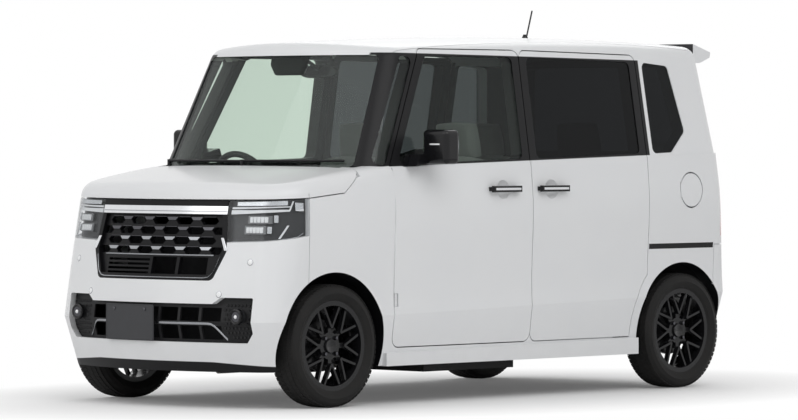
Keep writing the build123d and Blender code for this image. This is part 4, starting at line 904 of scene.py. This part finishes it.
def dress_wheel(corner, x, side):
    """Tread blocks, nuts, cap and valve of one wheel."""
    body = f"{corner}_wheel"
    hub = Vector((x, side * HUB_Y, HUB_Z))
    face = hub + Vector((0, side * HUB_FACE, 0))
    outward = Vector((0, side, 0))

    def around(turn):
        return Vector((cos(turn), 0, sin(turn)))

    def tread(grid):
        pitch = 2 * pi / TREAD_BLOCKS
        for row, (centre, width) in enumerate(TREAD_ROWS):
            shoulder = SHOULDER_DROP if abs(centre) > SHOULDER_FROM else 0.0
            radius = TREAD_RADIUS - TREAD_CROWN * (centre / TREAD_HALF) ** 2 - shoulder
            slant = BLOCK_SLANT if centre > 0 else -BLOCK_SLANT
            for index in range(TREAD_BLOCKS):
                start = (index + 0.5 * (row % 2)) * pitch
                corners = []
                for share, off in ((0.0, -1), (BLOCK_SHARE, -1), (BLOCK_SHARE, 1), (0.0, 1)):
                    out = around(start + share * pitch + slant * off) * (radius - BLOCK_HIGH)
                    corners.append(hub + out + Vector((0, centre + off * width / 2, 0)))
                rise = sum(corners, Vector()) / 4 - hub
                rise.y = 0
                slab(grid, corners, rise.normalized() * BLOCK_HIGH)

    fit(f"{corner}_tread", tread, rubber, body, "tyre")

    def nuts(grid):
        for turn in (45, 135, 225, 315):
            lathe(grid, NUT, face + around(radians(turn)) * NUT_CIRCLE, outward, 6)

    fit(f"{corner}_nuts", nuts, dark_chrome, body, "alloy", sharp=30)
    fit_lathe(f"{corner}_cap", CAP, face, outward, 40, wheel_black, body, "alloy")
    out = around(radians(VALVE_TURN))
    spot = hub + out * VALVE_RADIUS + outward * VALVE_FACE
    fit_lathe(f"{corner}_valve", VALVE, spot, outward - out * VALVE_LEAN, 12, black_grain, body, "tyre")


# Seats
PAD_CUTS = 26
PAD_SQUARE = 0.80
PAD_ROUND = 0.25
EDGE_PULL = 0.035
BOLSTER_FROM = 0.62
SEAM_END = 0.66
SEAM_DEPTH = 0.11
SEAM_WIDE = 0.030
FRONT_SEAT_Y = 0.320
REAR_SEAT_Y = 0.286
REAR_REST_Y = 0.320
CUSHION_THICK = 0.150
CUSHION_LONG = 0.53
CUSHION_Z = 0.487
CUSHION_LEAN = -4
BACK_THICK = 0.125
BACK_LONG = 0.66
BACK_Z = 0.805
BACK_LEAN = -104.5
REST_SIZE = (0.165, 0.255, 0.095)
REST_BACK = 0.166
REST_Z = 1.212
REST_LEAN = -82
# Points of a head restraint's posts: distance behind the x it is given, z
REST_POST = ((0.128, 1.06), (0.148, 1.13), (0.160, 1.17))
POST_OFF = 0.06
FRONT_BASE = ((0.15, 0.264), (0.53, 0.264), (0.56, 0.38), (0.60, 0.425), (0.13, 0.405), (0.10, 0.36))
FRONT_BASE_WIDE = 0.34
REAR_BASE = ((-0.73, 0.264), (-0.35, 0.264), (-0.29, 0.425), (-0.75, 0.405))
REAR_BASE_WIDE = 0.76


def pad(name, size, place, lean, crown, bolster=0.0, taper=0.0, across=(), along=()):
    """A stuffed pad (length, width, thickness) with seams across and along it, at shares of its half size."""
    long, wide, thick = size

    def stuffed(grid):
        bmesh.ops.create_cube(grid, size=2.0)
        bmesh.ops.subdivide_edges(grid, edges=grid.edges[:], cuts=PAD_CUTS, use_grid_fill=True)
        for vertex in grid.verts:
            u, v, w = vertex.co
            ball = vertex.co.normalized()
            length = u * PAD_SQUARE + ball.x * PAD_ROUND
            width = v * PAD_SQUARE + ball.y * PAD_ROUND
            pull = 1 - EDGE_PULL * (1 - u * u) * abs(v) ** 3
            narrow = 1 - taper * (u + 1) / 2
            height = w * (0.60 + 0.40 * ((1 - u ** 4) * (1 - v ** 4)) ** 0.5)
            if w > 0:
                side = max(0.0, abs(v) - BOLSTER_FROM) / (1 - BOLSTER_FROM)
                height += crown / (thick / 2) * (1 - u * u) * (1 - v * v) * w
                height += bolster / (thick / 2) * side * (1 - u ** 4) * w
                seams = [u - seam for seam in across if abs(v) < SEAM_END] + [v - seam for seam in along]
                height -= sum(SEAM_DEPTH * exp(-(off / SEAM_WIDE) ** 2) * w for off in seams)
            vertex.co = (length * long / 2, width * wide / 2 * pull * narrow, height * thick / 2)
        turned = Matrix.Translation(place) @ Matrix.Rotation(radians(lean), 4, "Y")
        bmesh.ops.transform(grid, matrix=turned, verts=grid.verts)

    piece = fit(name, stuffed, seat_cloth, "body", "seat_cloth", rounded=True)
    return piece


def seat_base(name, outline, y, wide):
    """The box under a seat."""
    corners = side_view(outline, y - wide / 2)
    return fit_slab(name, corners, (0, wide, 0), black_grain, "body", "interior", 0.012)


def cushion(name, wide, x, y, **stuffing):
    """The pad that one sits on."""
    return pad(name, (CUSHION_LONG, wide, CUSHION_THICK), (x, y, CUSHION_Z), CUSHION_LEAN, **stuffing)


def seat_back(name, wide, x, y, **stuffing):
    """The pad that one leans on."""
    return pad(name, (BACK_LONG, wide, BACK_THICK), (x, y, BACK_Z), BACK_LEAN, **stuffing)


def head_restraint(name, x, y):
    """A head restraint with its two posts."""
    piece = pad(name, REST_SIZE, (x - REST_BACK, y, REST_Z), REST_LEAN, crown=0.012, taper=0.12, along=(0.0,))
    for off, mark in ((-POST_OFF, "r"), (POST_OFF, "l")):
        post = [Vector((x - back, y + off, z)) for back, z in REST_POST]
        tube(f"{name}_post_{mark}", post, 0.006, chrome, "body")
    return piece


def front_seat(side, end):
    """Base, cushion, back and head restraint of one front seat."""
    y = side * FRONT_SEAT_Y
    return [
        seat_base(f"{end}_seat_base", FRONT_BASE, y, FRONT_BASE_WIDE),
        cushion(f"{end}_seat_cushion", 0.50, 0.360, y, crown=0.012, bolster=0.022,
                across=(0.18, -0.25), along=(0.60, -0.60)),
        seat_back(f"{end}_seat_back", 0.49, 0.026, y, crown=0.010, bolster=0.024, taper=0.10,
                  across=(0.10, -0.35), along=(0.58, -0.58)),
        head_restraint(f"{end}_head_restraint", 0.090, y),
    ]


def rear_bench():
    """Base, cushions, backs and head restraints of the rear seat."""
    pieces = [seat_base("rear_seat_base", REAR_BASE, 0.0, REAR_BASE_WIDE)]
    for side, end in SIDES:
        y = side * REAR_SEAT_Y
        pieces += [
            cushion(f"{end}_rear_cushion", 0.562, -0.52, y, crown=0.014, bolster=0.010, across=(0.2, -0.25)),
            seat_back(f"{end}_rear_back", 0.556, -0.854, y, crown=0.012, bolster=0.012, across=(0.10, -0.35)),
            head_restraint(f"{end}_rear_restraint", -0.790, side * REAR_REST_Y),
        ]
    return pieces


# Cabin
SCREEN_SIZE = (0.230, 0.130)
SCREEN_PLACE = (0.790, 0.0, 0.940)
HOOD_OUTLINE = ((0.905, 1.005), (0.905, 1.06), (0.800, 1.075), (0.760, 1.06), (0.790, 1.045), (0.800, 1.0))
HOOD_FROM = -0.49
HOOD_WIDE = 0.30
VENTS = (-0.585, -0.165, 0.165, 0.585)
VENT_SIZE = (0.090, 0.004)
VENT_X = 0.779
VENT_Z = 0.917
VENT_PITCH = 0.014
STEERING_CENTRE = Vector((0.690, -0.340, 0.985))
STEERING_RAKE = 25
STEERING_PAD = ((0.004, 0.075), (0.020, 0.078), (0.034, 0.066), (0.040, 0.040), (0.041, 0.0))
CABIN_MIRROR_SIZE = (0.236, 0.060)
CABIN_MIRROR_PLACE = (0.530, 0.0, 1.535)
MIRROR_STALK = ((0.548, 1.55), (0.61, 1.58), (0.672, 1.612))
CAMERA_COVER = ((-0.22, 1.570), (-0.19, 1.520), (-0.02, 1.520), (0.01, 1.570), (0.0, 1.610), (-0.21, 1.610))
CAMERA_COVER_X = 0.655


def dash_vents(grid):
    """Slats of the four vents."""
    for y in VENTS:
        for index in range(5):
            slat = front_view(oblong(*VENT_SIZE), VENT_X, y, VENT_Z + index * VENT_PITCH)
            slab(grid, slat, (-0.012, 0, -0.004))


def dress_cabin():
    """Screen, instrument hood, vents, steering-wheel pad, rear-view mirror and camera cover."""
    screen = front_view(oblong(*SCREEN_SIZE), *SCREEN_PLACE)
    fit_slab("dash_screen", screen, (-0.022, 0, 0.006), black_gloss, "body", "interior", 0.006)
    hood = side_view(HOOD_OUTLINE, HOOD_FROM)
    fit_slab("instrument_hood", hood, (0, HOOD_WIDE, 0), cabin_grey, "body", "interior", 0.012)
    fit("dash_vents", dash_vents, black_gloss, "body", "interior", 0.001)
    axis = (-cos(radians(STEERING_RAKE)), 0, sin(radians(STEERING_RAKE)))
    fit_lathe("steering_pad", STEERING_PAD, STEERING_CENTRE, axis, 40, cabin_grey, "body", "interior")
    mirror = front_view(rounded_oblong(*CABIN_MIRROR_SIZE, (0.5, 0.6), 24), *CABIN_MIRROR_PLACE)
    fit_slab("cabin_mirror", mirror, (0.026, 0, 0.004), black_gloss, "body", "interior", 0.006)
    tube("cabin_mirror_stalk", side_view(MIRROR_STALK, 0.0), 0.009, black_grain, "body")
    cover = front_view(CAMERA_COVER, CAMERA_COVER_X)
    fit_slab("camera_cover", cover, (-0.035, 0, 0), black_grain, "body", "interior", 0.010)


# Sides
FRONT_HANDLE_X = 0.059
SLIDING_HANDLE_X = -0.283
HANDLE_Z = 0.985
HANDLE_HALF = 0.088
MIRROR_GLASS_SIZE = (0.132, 0.124)
MIRROR_GLASS_X = 0.543
MIRROR_GLASS_Z = 1.184
MIRROR_GLASS_IN = 0.080
MIRROR_LAMP_X = 0.635
MIRROR_LAMP_Z = 1.196
MIRROR_LAMP_IN = 0.075
MIRROR_LAMP_HALF = 0.052
MIRROR_LAMP_BOW = 0.012


def outermost(node):
    """How far a node reaches from the car's middle."""
    low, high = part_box(node)
    return max(abs(low.y), abs(high.y))


def dress_side(side, end):
    """Bright handle strips, mirror glass and mirror lamp on one side."""
    door = f"{end}_front_door"
    for name, node, x, body in (
        ("front", f"{end}_front_handle", FRONT_HANDLE_X, door),
        ("sliding", "sliding_door_handles", SLIDING_HANDLE_X, "body"),
    ):
        y = side * (outermost(node) + 0.0005)
        spine = [Vector((x + off, y, HANDLE_Z)) for off in span(-HANDLE_HALF, HANDLE_HALF, 9)]
        fit_strip(f"{end}_{name}_handle_strip", spine, (0, 0, 0.011), (0, 0.004, 0),
                  chrome, body, "handle_trim", 0.001)
    reach = outermost(f"{end}_mirror")
    outline = rounded_oblong(*MIRROR_GLASS_SIZE, (0.45, 0.45), 32)
    glass = front_view(outline, MIRROR_GLASS_X, side * (reach - MIRROR_GLASS_IN), MIRROR_GLASS_Z)
    fit_slab(f"{end}_mirror_glass", glass, (-0.003, 0, 0), mirror_silver, door, "black_trim")
    lamp = []
    for t in span(-1, 1, 9):
        y = side * (reach - MIRROR_LAMP_IN + MIRROR_LAMP_HALF * t)
        lamp.append(Vector((MIRROR_LAMP_X - MIRROR_LAMP_BOW * t ** 4, y, MIRROR_LAMP_Z)))
    fit_strip(f"{end}_mirror_lamp", lamp, (0, 0, 0.007), (0.010, 0, 0), lamp_white, door, "front_lamp", 0.001)


ARMREST_X = (0.02, 0.60)
ARMREST_Z = 0.80
ARMREST_REACH = 0.050
POCKET_X = (0.08, 0.62)
POCKET_Z = (0.40, 0.50)
POCKET_REACH = 0.034
SPEAKER_PLACE = (0.64, 0.62)
SPEAKER = ((-0.002, 0.066), (0.006, 0.066), (0.009, 0.060), (0.006, 0.056), (0.008, 0.030), (0.010, 0.0))
INNER_HANDLE_Z = 0.925
# Points of the inner handle: x, distance from the door
INNER_HANDLE = ((0.470, 0.001), (0.474, 0.02), (0.490, 0.026), (0.550, 0.026), (0.566, 0.02), (0.570, 0.001))


def line_door(side, end):
    """Armrest, map pocket, speaker cover and inner handle on the cabin side of a front door."""
    body = f"{end}_front_door"
    door_skin = skin_tree(body)
    inward = Vector((0, -side, 0))
    rise = Vector((0, 0, 1))

    def on_door(x, z, stand=0.0):
        hit = door_skin.ray_cast(Vector((x, 0.0, z)), -inward)[0]
        return Vector((x, hit.y - side * stand, z))

    def armrest(grid):
        rings = []
        for x, lean in zip(span(*ARMREST_X, 13), span(-1, 1, 13)):
            reach = inward * (ARMREST_REACH * (1 - lean ** 6) + 0.006)
            root = on_door(x, ARMREST_Z + 0.02 * lean)
            rings.append([root - rise * 0.045, root - rise * 0.030 + reach * 0.8, root + reach,
                          root + rise * 0.018 + reach * 0.9, root + rise * 0.022])
        sleeve(grid, rings)

    fit(f"{end}_door_armrest", armrest, cabin_grey, body, "interior", rounded=True)

    def pocket(grid):
        rings = []
        for x, lean in zip(span(*POCKET_X, 11), span(-1, 1, 11)):
            reach = inward * (POCKET_REACH * (1 - lean ** 8) + 0.004)
            root, lip = [on_door(x, z) for z in POCKET_Z]
            rings.append([root, root + reach, lip + reach + inward * 0.006, lip + reach * 0.6, lip])
        sleeve(grid, rings)

    fit(f"{end}_door_pocket", pocket, black_grain, body, "interior", 0.002)
    spot = on_door(*SPEAKER_PLACE)
    fit_lathe(f"{end}_door_speaker", SPEAKER, spot, inward, 40, black_grain, body, "interior")
    pull = [on_door(x, INNER_HANDLE_Z, stand) for x, stand in INNER_HANDLE]
    tube(f"{end}_door_inner_handle", pull, 0.007, chrome, body)


# Tail
REAR_PLATE_Z = 0.80
WIPER_ARM = ((-0.02, 1.115), (0.10, 1.165), (0.24, 1.188), (0.34, 1.196))
WIPER_BLADE = (0.08, 0.44)
WIPER_BLADE_Z = 1.196
STOP_LAMP_HALF = 0.16
STOP_LAMP_Z = 1.636
REFLECTOR = (0.50, 0.60)
REFLECTOR_Z = 0.46
SEGMENT = (0.622, 0.672)
SEGMENT_HEIGHTS = (0.79, 0.86, 0.93, 1.00)


def dress_tail():
    """Bare plate, wiper, high stop lamp, reflectors and bright lamp segments."""
    plate("rear_plate", on_tail(0.0, REAR_PLATE_Z), (-1, 0, 0.02), plate_white, "tailgate")
    arm = [on_tail(y, z, 0.022) for y, z in WIPER_ARM]
    tube("rear_wiper_arm", arm, 0.008, black_grain, "tailgate")
    centre = sum(WIPER_BLADE) / 2
    blade = [on_tail(y, WIPER_BLADE_Z - abs(y - centre) * 0.03, 0.012) for y in span(*WIPER_BLADE, 10)]
    tube("rear_wiper_blade", blade, 0.006, black_grain, "tailgate")
    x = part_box("tailgate")[0].x + 0.012
    spine = [Vector((x, y, STOP_LAMP_Z)) for y in span(-STOP_LAMP_HALF, STOP_LAMP_HALF, 9)]
    fit_strip("high_stop_lamp", spine, (0, 0, 0.012), (0.014, 0, 0), red_lens, "tailgate", "rear_lamp", 0.002)
    for side, end in SIDES:
        spine = [on_tail(side * y, REFLECTOR_Z, 0.001) for y in span(*REFLECTOR, 7)]
        fit_strip(f"{end}_reflector", spine, (0, 0, 0.040), (0.006, 0, 0),
                  red_lens, "body", "rear_lamp", 0.002)

        def segments(grid):
            for z in SEGMENT_HEIGHTS:
                spine = [on_tail(side * y, z, 0.0008) for y in span(*SEGMENT, 5)]
                strip(grid, spine, (0, 0, 0.045), (0.004, 0, 0))

        fit(f"{end}_tail_segments", segments, lamp_chrome, "body", "rear_lamp", 0.002)


# Fit everything
for side, end in SIDES:
    dress_headlamp(side, end)
    dress_fog_lamp(side, end)
    dress_side(side, end)
    line_door(side, end)
    for piece in front_seat(side, end):
        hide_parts("front_seats")
for piece in rear_bench():
    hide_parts("rear_seat")
dress_grille()
dress_lower_opening()
front_plate_middle = on_low_grille(PLATE_Y, BLADE_Z, 0.018) - Vector((0, 0, 0.002))
plate("front_plate", front_plate_middle, (1, -0.05, 0), plate_grey, "body")
for axle, x in AXLES:
    for side, end in SIDES:
        dress_wheel(f"{axle}_{end}", x, side)
dress_cabin()
dress_tail()


# Stage, light and camera
FLOOR_HALF = 30
FLOOR_SHADE = (0.91, 0.91, 0.91)
FLOOR_LIGHT = (0.94, 0.94, 0.94)
# Squared half lengths of the oval round the car where the floor still shows its shadow
SHADOW_OVAL = (5.5, 2.2)
ROOM_LIGHT = 0.42
WHITE = (1.0, 1.0, 1.0, 1.0)
CAMERA_PLACE = (17.306, 16.167, 1.2395)
CAMERA_HEADING = 43.0378
CAMERA_DIP = 0.875
CAMERA_LENS = 222.2


def stage_floor():
    """A pale floor that keeps the shadow near the car and fades to white away from it."""
    mesh = bpy.data.meshes.new("floor")
    corners = [(a * FLOOR_HALF, b * FLOOR_HALF, 0) for a, b in oblong(2, 2)]
    mesh.from_pydata(corners, [], [(0, 1, 2, 3)])
    floor = bpy.data.objects.new("floor", mesh)
    bpy.context.collection.objects.link(floor)
    pale = Finish("pale_floor", FLOOR_SHADE, 0.9)
    where, (x, y, _) = pale.place()
    pale.feed("Base Color", pale.blend(pale.noise(0.4, 2.0, where), FLOOR_SHADE, FLOOR_LIGHT))
    far = step((x * x) / SHADOW_OVAL[0] + (y * y) / SHADOW_OVAL[1], 1.0, 1.1)
    seen = pale.add("ShaderNodeLightPath", output="Is Camera Ray")
    white = pale.add("ShaderNodeEmission", {}, {"Color": WHITE, "Strength": 1.0})
    pale.show(pale.mix(seen * (0.10 + far * 0.90), pale.plain, white))
    mesh.materials.append(pale.material)


def area_light(name, place, aim, size, power):
    """A soft lamp aimed at a point."""
    data = bpy.data.lights.new(name, "AREA")
    data.shape = "RECTANGLE"
    data.size, data.size_y = size
    data.energy = power
    lamp = bpy.data.objects.new(name, data)
    lamp.location = place
    lamp.rotation_euler = (Vector(aim) - Vector(place)).to_track_quat("-Z", "Y").to_euler()
    bpy.context.collection.objects.link(lamp)


def white_world():
    """Even pale light, white where the camera, a mirror or a clear pane sees it."""
    world = bpy.data.worlds.new("studio")
    bpy.context.scene.world = world
    world.use_nodes = True
    nodes, links = world.node_tree.nodes, world.node_tree.links
    ground = nodes["Background"]
    ground.inputs["Color"].default_value = WHITE
    path = nodes.new("ShaderNodeLightPath")
    seen = path.outputs["Is Camera Ray"]
    for ray in ("Is Transmission Ray", "Is Glossy Ray"):
        either = nodes.new("ShaderNodeMath")
        either.operation = "MAXIMUM"
        links.new(seen, either.inputs[0])
        links.new(path.outputs[ray], either.inputs[1])
        seen = either.outputs[0]
    level = nodes.new("ShaderNodeMapRange")
    level.inputs["To Min"].default_value = ROOM_LIGHT
    level.inputs["To Max"].default_value = 1.0
    links.new(seen, level.inputs["Value"])
    links.new(level.outputs["Result"], ground.inputs["Strength"])


def photo_camera():
    """A long lens from the front left, just above the bonnet's height."""
    heading, dip = radians(CAMERA_HEADING), radians(CAMERA_DIP)
    look = Vector((-cos(heading) * cos(dip), -sin(heading) * cos(dip), -sin(dip)))
    data = bpy.data.cameras.new("camera")
    data.sensor_width = 36.0
    data.lens = CAMERA_LENS
    data.clip_end = 200.0
    camera = bpy.data.objects.new("camera", data)
    camera.location = CAMERA_PLACE
    camera.rotation_euler = look.to_track_quat("-Z", "Y").to_euler()
    bpy.context.collection.objects.link(camera)
    bpy.context.scene.camera = camera


stage_floor()
area_light("key_light", (4.0, 8.0, 8.0), (0, 0, 0.8), (9.0, 7.0), 380.0)
area_light("front_light", (9.0, -2.0, 6.0), (1.2, 0, 0.7), (8.0, 7.0), 200.0)
area_light("back_light", (-7.0, -4.0, 7.0), (0, 0, 1.0), (7.0, 7.0), 160.0)
white_world()
photo_camera()
bpy.context.scene.view_settings.view_transform = "Standard"
